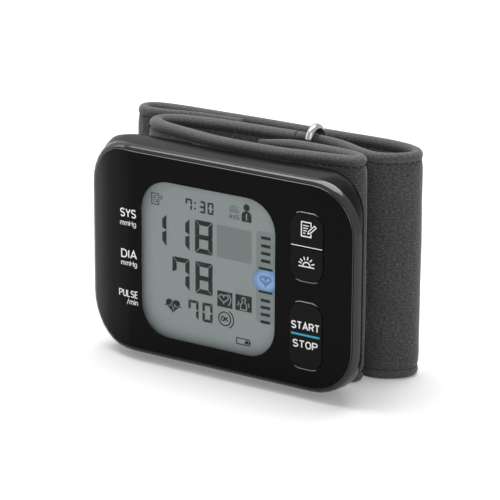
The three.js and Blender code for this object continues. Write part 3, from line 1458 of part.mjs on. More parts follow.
// Board
place("main_board", mainBoard(), "board");
const chipX = BOARD_RIGHT - CHIP_MARGIN - CHIP_SIZE / 2;
const chipZ = BOARD_BOTTOM + CHIP_RISE + CHIP_SIZE / 2;
const radioX = BOARD_RIGHT - RADIO_MARGIN - RADIO_SIZE / 2;
const radioZ = BOARD_TOP - RADIO_DROP - RADIO_SIZE / 2;
const buzzerX = BOARD_LEFT + BUZZER_MARGIN + BUZZER_RADIUS;
const buzzerZ = BOARD_BOTTOM + BUZZER_MARGIN + BUZZER_RADIUS;
const buzzerBack = BOARD_BACK + BUZZER_THICKNESS;
place("processor", chip(CHIP_SIZE, CHIP_SIZE, CHIP_THICKNESS, chipX, chipZ), "chipBlack");
place("radio_module", chip(RADIO_SIZE, RADIO_SIZE, RADIO_THICKNESS, radioX, radioZ), "steel");
place(
  "buzzer",
  depthBar(BUZZER_RADIUS, buzzerX, buzzerZ, BOARD_BACK, buzzerBack, ROUND_STEPS),
  "chipBlack",
);
place("pressure_sensor", pressureSensor(), "grey");

// Cells
const leftCellX = CELL_MIDDLE_X - CELL_PITCH / 2;
const rightCellX = CELL_MIDDLE_X + CELL_PITCH / 2;
const contactHalf = CONTACT_WIDTH / 2;
place("battery_cell_1", cell(leftCellX, true), "cellJacket");
place("battery_cell_2", cell(rightCellX, false), "cellJacket");
place("battery_spring_1", coneSpring(leftCellX, -1), "steel");
place("battery_spring_2", coneSpring(rightCellX, 1), "steel");
place(
  "link_contact",
  contact(leftCellX - contactHalf, rightCellX + contactHalf, -1, [rightCellX]),
  "brass",
);
place(
  "positive_contact",
  contact(leftCellX - contactHalf, leftCellX + contactHalf, 1, [leftCellX]),
  "brass",
);
place(
  "negative_contact",
  contact(rightCellX - contactHalf, rightCellX + contactHalf, 1, []),
  "brass",
);

// Air system
const headRight = PUMP_X + HEAD_WIDTH / 2;
const valveRight = PUMP_X + VALVE_WIDTH / 2;
place("pump_motor", pumpMotor(), "steel");
place("pump_rotor", pumpRotor(), "brass");
place("pump_head", pumpHead(), "grey");
place("valve_body", valveBody(), "grey");
place("valve_plunger", valvePlunger(), "steel");
place("air_manifold", airManifold(), "grey");
place("pump_tube", crossTube(headRight, HEAD_TOP - 3, MANIFOLD_PUMP_Z), "tubing");
place(
  "valve_tube",
  crossTube(valveRight, (VALVE_BOTTOM + VALVE_TOP) / 2, MANIFOLD_VALVE_Z),
  "tubing",
);
place("sensor_tube", sensorTube(), "tubing");

// Cuff
place("cuff_plate", cuffPlate(), "satinBlack");
place("cuff_body", cuffBody(), "fabric");
place("curler_sheet", curlerSheet(), "grey");
place("air_bladder", airBladder(), "rubber");
place("cuff_strap", cuffStrap(), "fabric");
place("hook_tongue", hookTongue(), "hook");
place("ring_tab", ringTab(), "fabric");
place("strap_ring", strapRing(), "chrome");

// The assembly stands on the cuff's lower edge, centred over the origin.
const box = new THREE.Box3().setFromObject(monitor, true);
const middle = box.getCenter(new THREE.Vector3());
monitor.position.set(-middle.x, -middle.y, -box.min.z);

const assembly = new THREE.Group();
assembly.add(monitor);

export default assembly;
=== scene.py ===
# %% [markdown]
# # A wrist blood pressure monitor
# A slim black monitor stands on its own folded cuff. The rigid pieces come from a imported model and
# keep their places. This lesson dresses them: smooth shells, a liquid crystal display with its
# digits, printed keys, and a padded cloth cuff that folds round itself and passes through a ring.

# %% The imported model
import math

import bmesh
import bpy
import numpy as np
from mathutils import Matrix, Vector, noise


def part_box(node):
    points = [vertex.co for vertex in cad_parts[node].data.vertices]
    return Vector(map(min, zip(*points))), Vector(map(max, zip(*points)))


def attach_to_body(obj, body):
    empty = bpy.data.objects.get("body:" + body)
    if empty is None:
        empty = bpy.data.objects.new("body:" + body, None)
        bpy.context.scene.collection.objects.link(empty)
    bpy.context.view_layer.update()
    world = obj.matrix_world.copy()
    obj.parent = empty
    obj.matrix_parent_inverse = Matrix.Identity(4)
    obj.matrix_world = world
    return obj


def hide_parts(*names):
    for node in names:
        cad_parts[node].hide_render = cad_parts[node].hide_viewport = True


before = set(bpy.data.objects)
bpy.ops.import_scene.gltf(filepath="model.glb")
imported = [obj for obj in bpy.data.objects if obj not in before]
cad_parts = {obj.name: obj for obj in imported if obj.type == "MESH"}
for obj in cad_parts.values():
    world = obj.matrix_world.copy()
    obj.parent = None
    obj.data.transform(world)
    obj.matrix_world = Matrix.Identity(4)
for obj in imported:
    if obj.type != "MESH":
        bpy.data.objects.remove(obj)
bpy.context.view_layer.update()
MM = 0.001
BODY = "monitor"

panel_low, panel_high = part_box("front_panel")
lens_low, lens_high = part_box("display_lens")
WINDOW_X, WINDOW_Z = -4.1, -0.9
FACE = Vector((
    (lens_low.x + lens_high.x) / 2 - WINDOW_X * MM,
    panel_low.y,
    (panel_low.z + panel_high.z) / 2,
))


def at(x, y, z):
    """A place in millimetres from the middle of the front face: right, back and up."""
    return FACE + Vector((x, y, z)) * MM


def add(name, data):
    """New object in the scene."""
    made = bpy.data.objects.new(name, data)
    bpy.context.scene.collection.objects.link(made)
    return made


TURN_START, TURN_WIDTH, TURN_DEPTH, TURN_POWER = -30.0, 18.5, 5.5, 1.35
TURN_REACH, TURN_STATIONS = 1.15, 9
turn_shares = np.linspace(0, TURN_REACH, TURN_STATIONS)
TURN_X = TURN_START - TURN_WIDTH * turn_shares
TURN_Y = TURN_DEPTH * turn_shares ** TURN_POWER


def lean(x):
    """How far the face lies back at a place along its width: it turns back at the left end."""
    return float(np.interp(-x, -TURN_X, TURN_Y))


def lean_slope(x):
    """How steeply the face turns back there."""
    share = max(0.0, (TURN_START - x) / TURN_WIDTH)
    return TURN_DEPTH * TURN_POWER / TURN_WIDTH * share ** (TURN_POWER - 1)


print("face centre", [round(v, 5) for v in FACE], "nodes", len(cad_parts))

# %% [markdown]
# ## The camera
# The viewpoint is given by two angles and a distance from the front face. A long lens keeps the
# monitor's sides nearly parallel, as a product picture does. The camera's own axes are worked out
# from the angles, so nothing has to be aimed by eye.

# %% Camera
AZIMUTH, ELEVATION, ROLL = (math.radians(a) for a in (32.46, 18.385, -0.29))
CAMERA_OFFSET = Vector((-8.871, -5.388, -832.749))
SENSOR = 36.0
FOCAL_SHARE = 2912.67 / 500
CLIP_NEAR, CLIP_FAR = 0.01, 20

back = Vector((
    math.sin(AZIMUTH) * math.cos(ELEVATION),
    -math.cos(AZIMUTH) * math.cos(ELEVATION),
    math.sin(ELEVATION),
))
side = Vector((math.cos(AZIMUTH), math.sin(AZIMUTH), 0))
rise = back.cross(side)
right = side * math.cos(ROLL) - rise * math.sin(ROLL)
up = side * math.sin(ROLL) + rise * math.cos(ROLL)
spot = -(right * CAMERA_OFFSET.x + up * CAMERA_OFFSET.y + back * CAMERA_OFFSET.z)

lens = bpy.data.cameras.new("camera")
lens.sensor_width = SENSOR
lens.lens = SENSOR * FOCAL_SHARE
lens.clip_start, lens.clip_end = CLIP_NEAR, CLIP_FAR
camera = add("camera", lens)
turn = Matrix((right, up, back)).transposed().to_4x4()
camera.matrix_world = Matrix.Translation(FACE + spot * MM) @ turn
bpy.context.scene.camera = camera
bpy.context.scene.view_settings.view_transform = "Standard"
print("lens", round(lens.lens, 1), "mm")

# %% [markdown]
# ## Shader sums
# A finish is easier to read as a sum than as a web of boxes. `Level` wraps one output of a shader
# node, and its operators add the Math nodes. `Finish` owns a material and makes any other node.

# %% Level and Finish


class Level:
    """One shader output that can be added, multiplied and so on."""

    def __init__(self, finish, socket):
        self.finish = finish
        self.socket = socket

    def math(self, operation, first, second=0.5):
        values = {0: first, 1: second}
        return self.finish.node("ShaderNodeMath", {"operation": operation}, values)

    def __add__(self, other):
        return self.math("ADD", self, other)

    def __mul__(self, other):
        return self.math("MULTIPLY", self, other)

    def __sub__(self, other):
        return self.math("SUBTRACT", self, other)

    def __rsub__(self, other):
        return self.math("SUBTRACT", other, self)

    def __pow__(self, power):
        return self.math("POWER", self, power)

    def between(self, low, high):
        """0 at low, 1 at high, smooth in between."""
        values = {"Value": self, "From Min": low, "From Max": high}
        settings = {"interpolation_type": "SMOOTHSTEP"}
        return self.finish.node("ShaderNodeMapRange", settings, values)

    def size(self):
        return self.math("ABSOLUTE", self)

    def sine(self):
        return self.math("SINE", self)


class Finish:
    """A material with one Principled shader."""

    def __init__(self, name, color, roughness, metallic=0.0, **constants):
        self.material = bpy.data.materials.new(name)
        self.material.use_nodes = True
        self.tree = self.material.node_tree
        self.shader = next(n for n in self.tree.nodes if n.type == "BSDF_PRINCIPLED")
        self.color = linear(color)
        self.set("Base Color", self.color)
        self.set("Roughness", roughness)
        self.set("Metallic", metallic)
        for label, value in constants.items():
            self.set(label.replace("_", " "), value)

    def put(self, target, value):
        if isinstance(value, Level):
            self.tree.links.new(value.socket, target)
        else:
            target.default_value = value

    def node(self, kind, settings=None, values=None, output=0):
        """Any node: its settings first, then the values or links of its sockets."""
        made = self.tree.nodes.new(kind)
        for label, value in (settings or {}).items():
            setattr(made, label, value)
        for label, value in (values or {}).items():
            self.put(made.inputs[label], value)
        return Level(self, made.outputs[output])

    def set(self, label, value):
        self.put(self.shader.inputs[label], value)

    def place(self):
        return self.node("ShaderNodeTexCoord", output="Object")

    def axes(self, place=None):
        settings = {"Vector": place or self.place()}
        return [self.node("ShaderNodeSeparateXYZ", None, settings, i) for i in range(3)]

    def grain(self, grain_mm, detail=3.0, place=None, rough=0.5):
        """Noise from 0 to 1 whose grains are about this size."""
        values = {
            "Vector": place or self.place(),
            "Scale": 1 / (grain_mm * MM),
            "Detail": detail,
            "Roughness": rough,
        }
        return self.node("ShaderNodeTexNoise", None, values)

    def mix(self, share, first, second):
        """First colour where share is 0, second where it is 1."""
        made = self.tree.nodes.new("ShaderNodeMix")
        made.data_type = "RGBA"
        self.put(made.inputs["Factor"], share)
        for socket, value in ((made.inputs[6], first), (made.inputs[7], second)):
            self.put(socket, value)
        return Level(self, made.outputs[2])

    def relief(self, height, depth_mm, strength):
        values = {"Height": height, "Distance": depth_mm * MM, "Strength": strength}
        self.set("Normal", self.node("ShaderNodeBump", None, values))


def linear(color):
    """Linear colour from the 0 to 255 values seen on a screen."""
    parts = [c / 255 for c in color]
    curve = [p / 12.92 if p < 0.04045 else ((p + 0.055) / 1.055) ** 2.4 for p in parts]
    return (*curve, 1.0)


print("shader helpers ready")

# %% [markdown]
# ## Floor and light
# The monitor stands on a white sweep. The floor shows white to the camera but still darkens where
# the object shades it, and its own glow takes over where the lamps no longer reach. Large soft lamps
# above, left and right draw long pale bands on the black plastic, which is what makes gloss read as
# gloss.

# %% Stage
FLOOR_SIZE = 6.0
FLOOR_GLOW = 0.22
NEAR, FAR = 0.3, 0.8
AMBIENT, BACKDROP = 0.3, 1.0
WHITE = (1, 1, 1, 1)
LAMP_AIM = Vector((0, 0, 0.03))
LAMPS = (
    ("top_softbox", (-0.15, 0.15, 0.9), 1.2, 0.7, 15.0),
    ("left_softbox", (-0.8, -0.25, 0.35), 0.35, 0.6, 1.6),
    ("right_softbox", (0.75, -0.35, 0.45), 0.5, 0.6, 1.6),
)


def seen_rays(tree):
    """1 for rays that show a surface: straight to the camera, reflected or through the window."""
    path = tree.nodes.new("ShaderNodeLightPath")
    seen = path.outputs["Is Camera Ray"]
    for ray in ("Is Glossy Ray", "Is Transmission Ray"):
        joined = tree.nodes.new("ShaderNodeMath")
        joined.operation = "MAXIMUM"
        tree.links.new(seen, joined.inputs[0])
        tree.links.new(path.outputs[ray], joined.inputs[1])
        seen = joined.outputs[0]
    return seen


def show(tree, share, first, second, end_type):
    """Show the first shader where share is 0 and the second where it is 1."""
    blend = tree.nodes.new("ShaderNodeMixShader")
    for i, socket in enumerate((share, first, second)):
        tree.links.new(socket, blend.inputs[i])
    end = next(n for n in tree.nodes if n.type == end_type)
    tree.links.new(blend.outputs[0], end.inputs["Surface"])


floor_mesh = bpy.data.meshes.new("floor")
half = FLOOR_SIZE / 2
floor_mesh.from_pydata(
    [(-half, -half, 0), (half, -half, 0), (half, half, 0), (-half, half, 0)], [], [(0, 1, 2, 3)]
)
floor = add("floor", floor_mesh)

sweep = Finish("floor_white", (238, 238, 238), 0.9, Specular_IOR_Level=0.0)
glow = sweep.node("ShaderNodeEmission", None, {"Color": WHITE, "Strength": 1.0})
floor_x, floor_y, _ = sweep.axes()
distant = (floor_x * floor_x + floor_y * floor_y).between(NEAR ** 2, FAR ** 2)
share = Level(sweep, seen_rays(sweep.tree)) * (distant * (1 - FLOOR_GLOW) + FLOOR_GLOW)
show(sweep.tree, share.socket, sweep.shader.outputs[0], glow.socket, "OUTPUT_MATERIAL")
floor_mesh.materials.append(sweep.material)

world = bpy.data.worlds.new("studio")
bpy.context.scene.world = world
world.use_nodes = True
sky = world.node_tree
air = next(n for n in sky.nodes if n.type == "BACKGROUND")
white = sky.nodes.new("ShaderNodeBackground")
for shader, strength in ((air, AMBIENT), (white, BACKDROP)):
    shader.inputs["Color"].default_value = WHITE
    shader.inputs["Strength"].default_value = strength
show(sky, seen_rays(sky), air.outputs[0], white.outputs[0], "OUTPUT_WORLD")

for name, place, width, height, watts in LAMPS:
    light = bpy.data.lights.new(name, "AREA")
    light.shape = "RECTANGLE"
    light.size, light.size_y, light.energy = width, height, watts
    made = add(name, light)
    made.location = place
    made.rotation_euler = (LAMP_AIM - Vector(place)).to_track_quat("-Z", "Y").to_euler()
print("stage and lamps ready")

# %% [markdown]
# ## Finishes
# Gloss black for the panel, satin black for the shells, woven grey melange for the cuff, and so on.
# Each has a little variation at the size that the real one has: a moulded grain, faint handling
# marks in the gloss, or dark and pale fibres in the cloth.

# %% Plastics and metals
CLOUD_MM, CLOUD_DARK, POLISH_RANGE = 9, 0.82, 0.08
METAL_CLOUD_MM, METAL_RANGE = 3, 0.12
EDGE_TURN = (0.915, 0.965)
EDGE_COAT = {"Coat_IOR": 1.6, "Coat_Roughness": 0.14}


def plastic(name, color, roughness, grain_mm=0.25, grain_depth=0.01, **constants):
    """Moulded plastic with a fine grain and slight differences in polish."""
    finish = Finish(name, color, roughness, **constants)
    cloud = finish.grain(CLOUD_MM, 2.0)
    polish = cloud.between(0.2, 0.8) * POLISH_RANGE
    finish.set("Roughness", polish + (roughness - POLISH_RANGE / 2))
    dark = (*(c * CLOUD_DARK for c in finish.color[:3]), 1)
    finish.set("Base Color", finish.mix(cloud, dark, finish.color))
    finish.relief(finish.grain(grain_mm, 2.0), grain_depth, 0.6)
    return finish


def metal(name, color, roughness, grain_mm=0.4, depth=0.004):
    """Plated metal with a faint uneven polish."""
    finish = Finish(name, color, roughness, 1.0)
    cloud = finish.grain(METAL_CLOUD_MM, 3.0)
    finish.set("Roughness", cloud * METAL_RANGE + (roughness - METAL_RANGE / 2))
    finish.relief(finish.grain(grain_mm, 2.0), depth, 0.5)
    return finish


def ahead_share(finish):
    """How squarely the surface looks ahead, as its mesh stores it."""
    return finish.node("ShaderNodeAttribute", {"attribute_name": "ahead"}, output="Fac")


def edge_gloss(finish, weight):
    """Clear gloss on the rounded edges only: what looks straight ahead keeps its matt coat."""
    turned = 1 - ahead_share(finish).between(*EDGE_TURN)
    finish.set("Coat Weight", turned ** 2 * weight)


panel_gloss = plastic(
    "panel_gloss", (8, 8, 9), 0.16, 0.8, 0.002, Specular_IOR_Level=0.055, **EDGE_COAT
)
edge_gloss(panel_gloss, 0.9)
case_satin = plastic("case_satin", (18, 18, 20), 0.15, 0.22, 0.003, Specular_IOR_Level=0.5)
rear_satin = plastic("rear_satin", (17, 17, 18), 0.2, 0.22, 0.003, Specular_IOR_Level=0.028)
key_satin = plastic(
    "key_satin", (11, 11, 12), 0.2, 0.3, 0.003, Specular_IOR_Level=0.085, **EDGE_COAT
)
edge_gloss(key_satin, 1.0)
white_plastic = plastic("white_plastic", (228, 228, 224), 0.55)
grey_plastic = plastic("grey_plastic", (140, 142, 146), 0.55)
component_black = plastic("component_black", (40, 40, 42), 0.6)
key_film = plastic("key_film", (178, 132, 62), 0.4)
circuit_green = plastic("circuit_green", (28, 92, 58), 0.45, 0.9, 0.02)
soft_rubber = plastic("soft_rubber", (52, 52, 54), 0.75, 0.15, 0.02)
soft_tube = plastic("soft_tube", (212, 218, 212), 0.45, 0.5, 0.01)
cell_jacket = metal("cell_jacket", (138, 142, 148), 0.38)
steel = metal("steel", (196, 198, 202), 0.28)
motor_can = metal("motor_can", (170, 172, 176), 0.34)
contact_brass = metal("contact_brass", (206, 172, 96), 0.3)
ring_chrome = metal("ring_chrome", (158, 158, 160), 0.12, 1.2, 0.002)
print("plastics and metals ready")

# %% [markdown]
# ## Shells
# The rigid pieces keep the model's shape. A merged copy of each lets neighbouring facets share
# their corners, so that gentle curves shade smoothly while real edges stay crisp.

# %% Dressed copies
CREASE = math.radians(34)
FLAT = math.radians(0.5)
WELD = 2e-6
FACE_SQUARE = 0.9
KEYS = ("memory_key", "morning_key", "start_stop_key")


def paint(mesh, finish):
    """Give a mesh one finish in place of what it has."""
    mesh.materials.clear()
    mesh.materials.append(finish.material)


def link(name, mesh, finish):
    """New object at the origin in one finish."""
    paint(mesh, finish)
    return add(name, mesh)


def attach(piece, body=BODY, node=None):
    """Let a piece ride on a body and stand for a model node, which is hidden."""
    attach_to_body(piece, body)
    if node:
        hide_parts(node)
    return piece


def smooth(mesh):
    """Smooth shading with edges left crisp past the crease angle."""
    shape = bmesh.new()
    shape.from_mesh(mesh)
    for face in shape.faces:
        face.smooth = True
    for edge in shape.edges:
        edge.smooth = len(edge.link_faces) == 2 and edge.calc_face_angle(0) < CREASE
    shape.to_mesh(mesh)
    shape.free()


def store_facing(mesh):
    """Store how squarely each corner looks ahead: 1 on the flat face, less where it turns away."""
    facing = mesh.attributes.new("ahead", "FLOAT", "CORNER")
    for face in mesh.polygons:
        for corner in face.loop_indices:
            square = max(0.0, -face.normal.y)
            if square > FACE_SQUARE:
                place = mesh.vertices[mesh.loops[corner].vertex_index].co
                square = math.cos(math.atan(lean_slope((place.x - FACE.x) / MM)))
            facing.data[corner].value = square


def dress(node, finish, body=BODY):
    """Smooth copy of a model node in a new finish."""
    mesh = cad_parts[node].data.copy()
    mesh.name = node + "_skin"
    if mesh.has_custom_normals:
        mesh.normals_split_custom_set([(0, 0, 0)] * len(mesh.loops))
    shape = bmesh.new()
    shape.from_mesh(mesh)
    bmesh.ops.remove_doubles(shape, verts=shape.verts, dist=WELD)
    bmesh.ops.dissolve_limit(shape, angle_limit=FLAT, verts=shape.verts, edges=shape.edges)
    shape.to_mesh(mesh)
    shape.free()
    smooth(mesh)
    store_facing(mesh)
    made = link(node + "_skin", mesh, finish)
    weight = made.modifiers.new("even normals", "WEIGHTED_NORMAL")
    weight.keep_sharp = True
    return attach(made, body, node)


dress("front_panel", panel_gloss)
dress("front_case", case_satin)
dress("rear_case", rear_satin)
dress("battery_cover", rear_satin, "battery_cover")
for key in KEYS:
    dress(key, key_satin, key)

INSIDE = (
    (white_plastic, "lcd_frame"),
    (soft_rubber, "lcd_connector air_bladder"),
    (circuit_green, "main_board"),
    (key_film, "key_sheet"),
    (steel, "memory_dome morning_dome start_stop_dome radio_module valve_plunger"),
    (steel, "battery_spring_1 battery_spring_2"),
    (steel, "case_screw_1 case_screw_2 case_screw_3 case_screw_4"),
    (component_black, "processor buzzer"),
    (grey_plastic, "pressure_sensor pump_head valve_body air_manifold curler_sheet"),
    (cell_jacket, "battery_cell_1 battery_cell_2"),
    (contact_brass, "link_contact positive_contact negative_contact pump_rotor"),
    (motor_can, "pump_motor"),
    (soft_tube, "pump_tube valve_tube sensor_tube"),
    (rear_satin, "cuff_plate"),
)
for finish, nodes in INSIDE:
    for node in nodes.split():
        paint(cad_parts[node].data, finish)
print("shells and inner pieces dressed")

# %% [markdown]
# ## Display
# A reflective liquid crystal display is a grey-green sheet with dark segments that float just in
# front of it. The sheet lies behind the panel, and the shade of the panel's edge is painted into its
# colour: painted shade near the edge of the window, most at the left and the bottom. The sheet and
# its pale marks also have a painted glow. The clear window over it is nearly invisible, apart from
# the light that it reflects at a slant and a pale colour, a painted reflection, that shows more at a
# slant.

# %% Display glass and window
PAINTED_GLOW = 0.39
WINDOW_CENTRE = at(WINDOW_X, 0, WINDOW_Z)
WINDOW_HALF = (22.95 * MM, 23.7 * MM)
RIM_SHIFT = (0.8 * MM, 0.9 * MM)
RIM_POWER, RIM_RANGE, PAINTED_SHADE_DEPTH = 5, (0.4, 1.75), 0.9
WINDOW_IOR, PAINTED_GLARE, HAZE = 1.35, 0.8, 0.02

lcd_green = Finish("lcd_green", (132, 141, 140), 0.5, Specular_IOR_Level=0.1)
x, _, z = lcd_green.axes()
# Painted shade: the sheet turns darker towards the window's edge, most at the left and the bottom.
across = (x - (WINDOW_CENTRE.x + RIM_SHIFT[0])).size() * (1 / WINDOW_HALF[0])
along = (z - (WINDOW_CENTRE.z + RIM_SHIFT[1])).size() * (1 / WINDOW_HALF[1])
painted_shade_mask = (across ** RIM_POWER + along ** RIM_POWER).between(*RIM_RANGE)
cloud = lcd_green.grain(14, 2.0)
sheet = lcd_green.mix((cloud * 0.5 + 0.25) * 0.3, lcd_green.color, linear((141, 150, 148)))
sheet_with_painted_shade = lcd_green.mix(painted_shade_mask * PAINTED_SHADE_DEPTH, sheet, linear((40, 44, 44)))
lcd_green.set("Base Color", sheet_with_painted_shade)
# Painted glow: the sheet has no lamp behind it, yet glows a little, painted shade and all.
lcd_green.set("Emission Color", sheet_with_painted_shade)
lcd_green.set("Emission Strength", PAINTED_GLOW)
lcd_green.relief(lcd_green.grain(0.2, 1.0), 0.003, 0.4)
paint(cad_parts["lcd_panel"].data, lcd_green)

# Partly real gloss, partly painted reflection: the window's pale colour shows more where it is seen
# at a slant.
window_clear = Finish("window_clear", (210, 216, 214), 0.06, Specular_IOR_Level=0.5)
slant = window_clear.node("ShaderNodeFresnel", None, {"IOR": WINDOW_IOR})
window_clear.set("Alpha", (slant * PAINTED_GLARE + HAZE) * ahead_share(window_clear).between(0.5, 0.95))
dress("display_lens", window_clear)
print("display glass ready")

# %% [markdown]
# ## Signs
# Everything on the display and the panel is a thin flat piece: seven-segment digits, small signs
# and printed words. One set of helpers makes polygons, strokes and rings on the front face, and
# gives them a hair of thickness.

# %% Drawing helpers
INK = (1.03, 1.07)
MITRE_LIMIT = 0.35
SEGMENT_GAP = 0.09
LETTER_GAP = 0.24
TINY_SIZE = 1e-6
SIGHT_ROUNDS = 6
HEART_SPAN, HEART_LIFT = 32, 2.5


def on_face(x, depth, z):
    """Place on the face, moved along the line of sight where the face turns back."""
    drop = 0.0
    for _ in range(SIGHT_ROUNDS):
        drop = lean(x + drop * back.x / back.y)
    return at(x + drop * back.x / back.y, depth + drop, z + drop * back.z / back.y)


def bend(x, z, across, tall, start, end, steps=9):
    """Part of an oval, by its angles in degrees."""
    turns = [math.radians(start + (end - start) * i / steps) for i in range(steps + 1)]
    return [(x + across * math.cos(a), z + tall * math.sin(a)) for a in turns]


class Sheet:
    """Flat shapes on the front face, in millimetres, gathered into one mesh."""

    def __init__(self, depths=INK):
        self.shape = bmesh.new()
        self.depths = depths

    def polygon(self, points):
        pairs = zip(points, points[1:] + points[:1])
        area = sum(a[0] * b[1] - b[0] * a[1] for a, b in pairs)
        points = points if area > 0 else points[::-1]
        near, far = (
            [self.shape.verts.new(on_face(x, depth, z)) for x, z in points]
            for depth in self.depths
        )
        self.shape.faces.new(near)
        self.shape.faces.new(far[::-1])
        for i in range(len(points)):
            j = (i + 1) % len(points)
            self.shape.faces.new((near[j], near[i], far[i], far[j]))

    def bar(self, left, right, bottom, top):
        self.polygon([(left, bottom), (right, bottom), (right, top), (left, top)])

    def stroke(self, points, width, closed=False):
        """Line of even width with mitred corners."""
        points = [Vector(p) for p in points]
        count = len(points)
        sides = []
        for i, point in enumerate(points):
            before = points[i - 1] if closed or i else None
            after = points[(i + 1) % count] if closed or i + 1 < count else None
            into = (point - before).normalized() if before is not None else None
            out = (after - point).normalized() if after is not None else None
            along = ((into or out) + (out or into)).normalized()
            normal = Vector((-along.y, along.x))
            straight = out or into
            square = abs(normal.dot(Vector((-straight.y, straight.x))))
            reach = normal * (width / 2 / max(MITRE_LIMIT, square))
            sides.append((tuple(point + reach), tuple(point - reach)))
        for i in range(count if closed else count - 1):
            a, b = sides[i], sides[(i + 1) % count]
            self.polygon([a[0], a[1], b[1], b[0]])

    def disc(self, x, z, radius, steps=24):
        self.polygon(bend(x, z, radius, radius, 0, 360, steps)[:-1])

    def arc(self, x, z, radius, start, end, width, steps=20):
        line = bend(x, z, radius, radius, start, end, steps)
        closed = abs(end - start) >= 360
        self.stroke(line[:-1] if closed else line, width, closed)

    def finish(self, name, finish, slot, body=BODY):
        mesh = bpy.data.meshes.new(name)
        self.shape.to_mesh(mesh)
        self.shape.free()
        attach(link(name, mesh, finish), body)


def heart(x, z, width, tall=1.0, steps=28):
    """Outline of a heart, by the usual sum of sines and cosines."""
    scale = width / HEART_SPAN
    points = []
    for i in range(steps):
        t = 2 * math.pi * i / steps
        hx = 16 * math.sin(t) ** 3
        hz = 13 * math.cos(t) - 5 * math.cos(2 * t) - 2 * math.cos(3 * t) - math.cos(4 * t)
        points.append((x + hx * scale, z + (hz + HEART_LIFT) * tall * scale))
    return points


SEGMENTS = {"1": "bc", "7": "abcf", "8": "abcdefg", "0": "abcdef", "3": "abcdg"}


def digit(sheet, mark, left, right, bottom, top, thick):
    """Seven-segment digit that fills a box."""
    gap = thick * SEGMENT_GAP
    split = gap * 0.6
    middle = (bottom + top) / 2
    half = thick / 2
    a, b = left + gap, right - gap

    def level(z, way):
        inner = z + way * thick
        return [(a, z), (b, z), (b - thick, inner), (a + thick, inner)]

    def post(x, inner, end, way):
        return [
            (x, middle + way * split),
            (x, end - way * gap),
            (inner, end - way * (gap + thick)),
            (inner, middle + way * (split + half)),
        ]

    upper = [(a, middle), (a + half, middle + half), (b - half, middle + half)]
    lower = [(b, middle), (b - half, middle - half), (a + half, middle - half)]
    shapes = {
        "a": level(top, -1),
        "d": level(bottom, 1),
        "g": upper + lower,
        "b": post(right, right - thick, top, 1),
        "c": post(right, right - thick, bottom, -1),
        "f": post(left, left + thick, top, 1),
        "e": post(left, left + thick, bottom, -1),
    }
    for name, shape in shapes.items():
        if name in SEGMENTS[mark]:
            sheet.polygon(shape)


BOWL = [(0, 0), (0, 1), (0.34, 1)] + bend(0.34, 0.735, 0.27, 0.265, 90, -90)[1:] + [(0, 0.47)]
ROUND_D = [(0, 0), (0, 1), (0.27, 1)] + bend(0.27, 0.5, 0.36, 0.5, 90, -90, 12)[1:]
SNAKE = bend(0.3, 0.75, 0.3, 0.25, 28, 270, 11) + bend(0.3, 0.25, 0.3, 0.25, 90, -152, 11)[1:]
GLYPHS = {
    "S": [SNAKE],
    "Y": [[(0, 1), (0.33, 0.46), (0.33, 0)], [(0.66, 1), (0.33, 0.46)]],
    "D": [ROUND_D + [(0, 0)]],
    "I": [[(0, 0), (0, 1)]],
    "A": [[(0, 0), (0.34, 1), (0.68, 0)], [(0.12, 0.3), (0.56, 0.3)]],
    "P": [BOWL],
    "U": [[(0, 1)] + bend(0.31, 0.31, 0.31, 0.31, 180, 360) + [(0.62, 1)]],
    "L": [[(0, 1), (0, 0), (0.48, 0)]],
    "E": [[(0.5, 1), (0, 1), (0, 0), (0.5, 0)], [(0, 0.52), (0.44, 0.52)]],
    "T": [[(0, 1), (0.6, 1)], [(0.3, 1), (0.3, 0)]],
    "R": [BOWL, [(0.36, 0.47), (0.62, 0)]],
    "O": [bend(0.32, 0.5, 0.32, 0.5, 0, 360, 22)],
    "K": [[(0, 0), (0, 1)], [(0.58, 1), (0, 0.4)], [(0.2, 0.58), (0.62, 0)]],
    "V": [[(0, 1), (0.31, 0), (0.62, 1)]],
    "G": [bend(0.35, 0.5, 0.35, 0.5, 42, 345, 18) + [(0.69, 0.48), (0.4, 0.48)]],
    "H": [[(0, 0), (0, 1)], [(0.6, 0), (0.6, 1)], [(0, 0.52), (0.6, 0.52)]],
    "m": [
        [(0, 0), (0, 0.72)],
        bend(0.2, 0.5, 0.2, 0.22, 180, 0) + [(0.4, 0)],
        bend(0.6, 0.5, 0.2, 0.22, 180, 0) + [(0.8, 0)],
    ],
    "n": [[(0, 0), (0, 0.72)], bend(0.23, 0.49, 0.23, 0.23, 180, 0) + [(0.46, 0)]],
    "g": [
        bend(0.25, 0.36, 0.25, 0.36, 0, 360, 18),
        [(0.5, 0.72)] + bend(0.25, -0.08, 0.25, 0.2, 0, -150),
    ],
    "i": [[(0, 0), (0, 0.72)], [(0, 0.88), (0, 1.02)]],
    "/": [[(0, -0.05), (0.34, 1.05)]],
}


def letters(sheet, text, box, line):
    """Even-stroke letters fitted to a box of left, top, right and bottom."""
    strokes, cursor = [], 0.0
    for mark in text:
        spread = [p[0] for part in GLYPHS[mark] for p in part]
        for part in GLYPHS[mark]:
            strokes.append([(x - min(spread) + cursor, z) for x, z in part])
        cursor += max(spread) - min(spread) + LETTER_GAP
    flat = np.array([p for part in strokes for p in part])
    low, size = flat.min(0), np.maximum(np.ptp(flat, axis=0), TINY_SIZE)
    left, top, right, bottom = box
    origin = np.array((left, bottom)) + line / 2
    room = np.array((right - left, top - bottom)) - line
    for part in strokes:
        points = [tuple(origin + (np.array(p) - low) / size * room) for p in part]
        closed = math.dist(points[0], points[-1]) < TINY_SIZE
        sheet.stroke(points[:-1] if closed else points, line, closed)


print("drawing helpers ready")

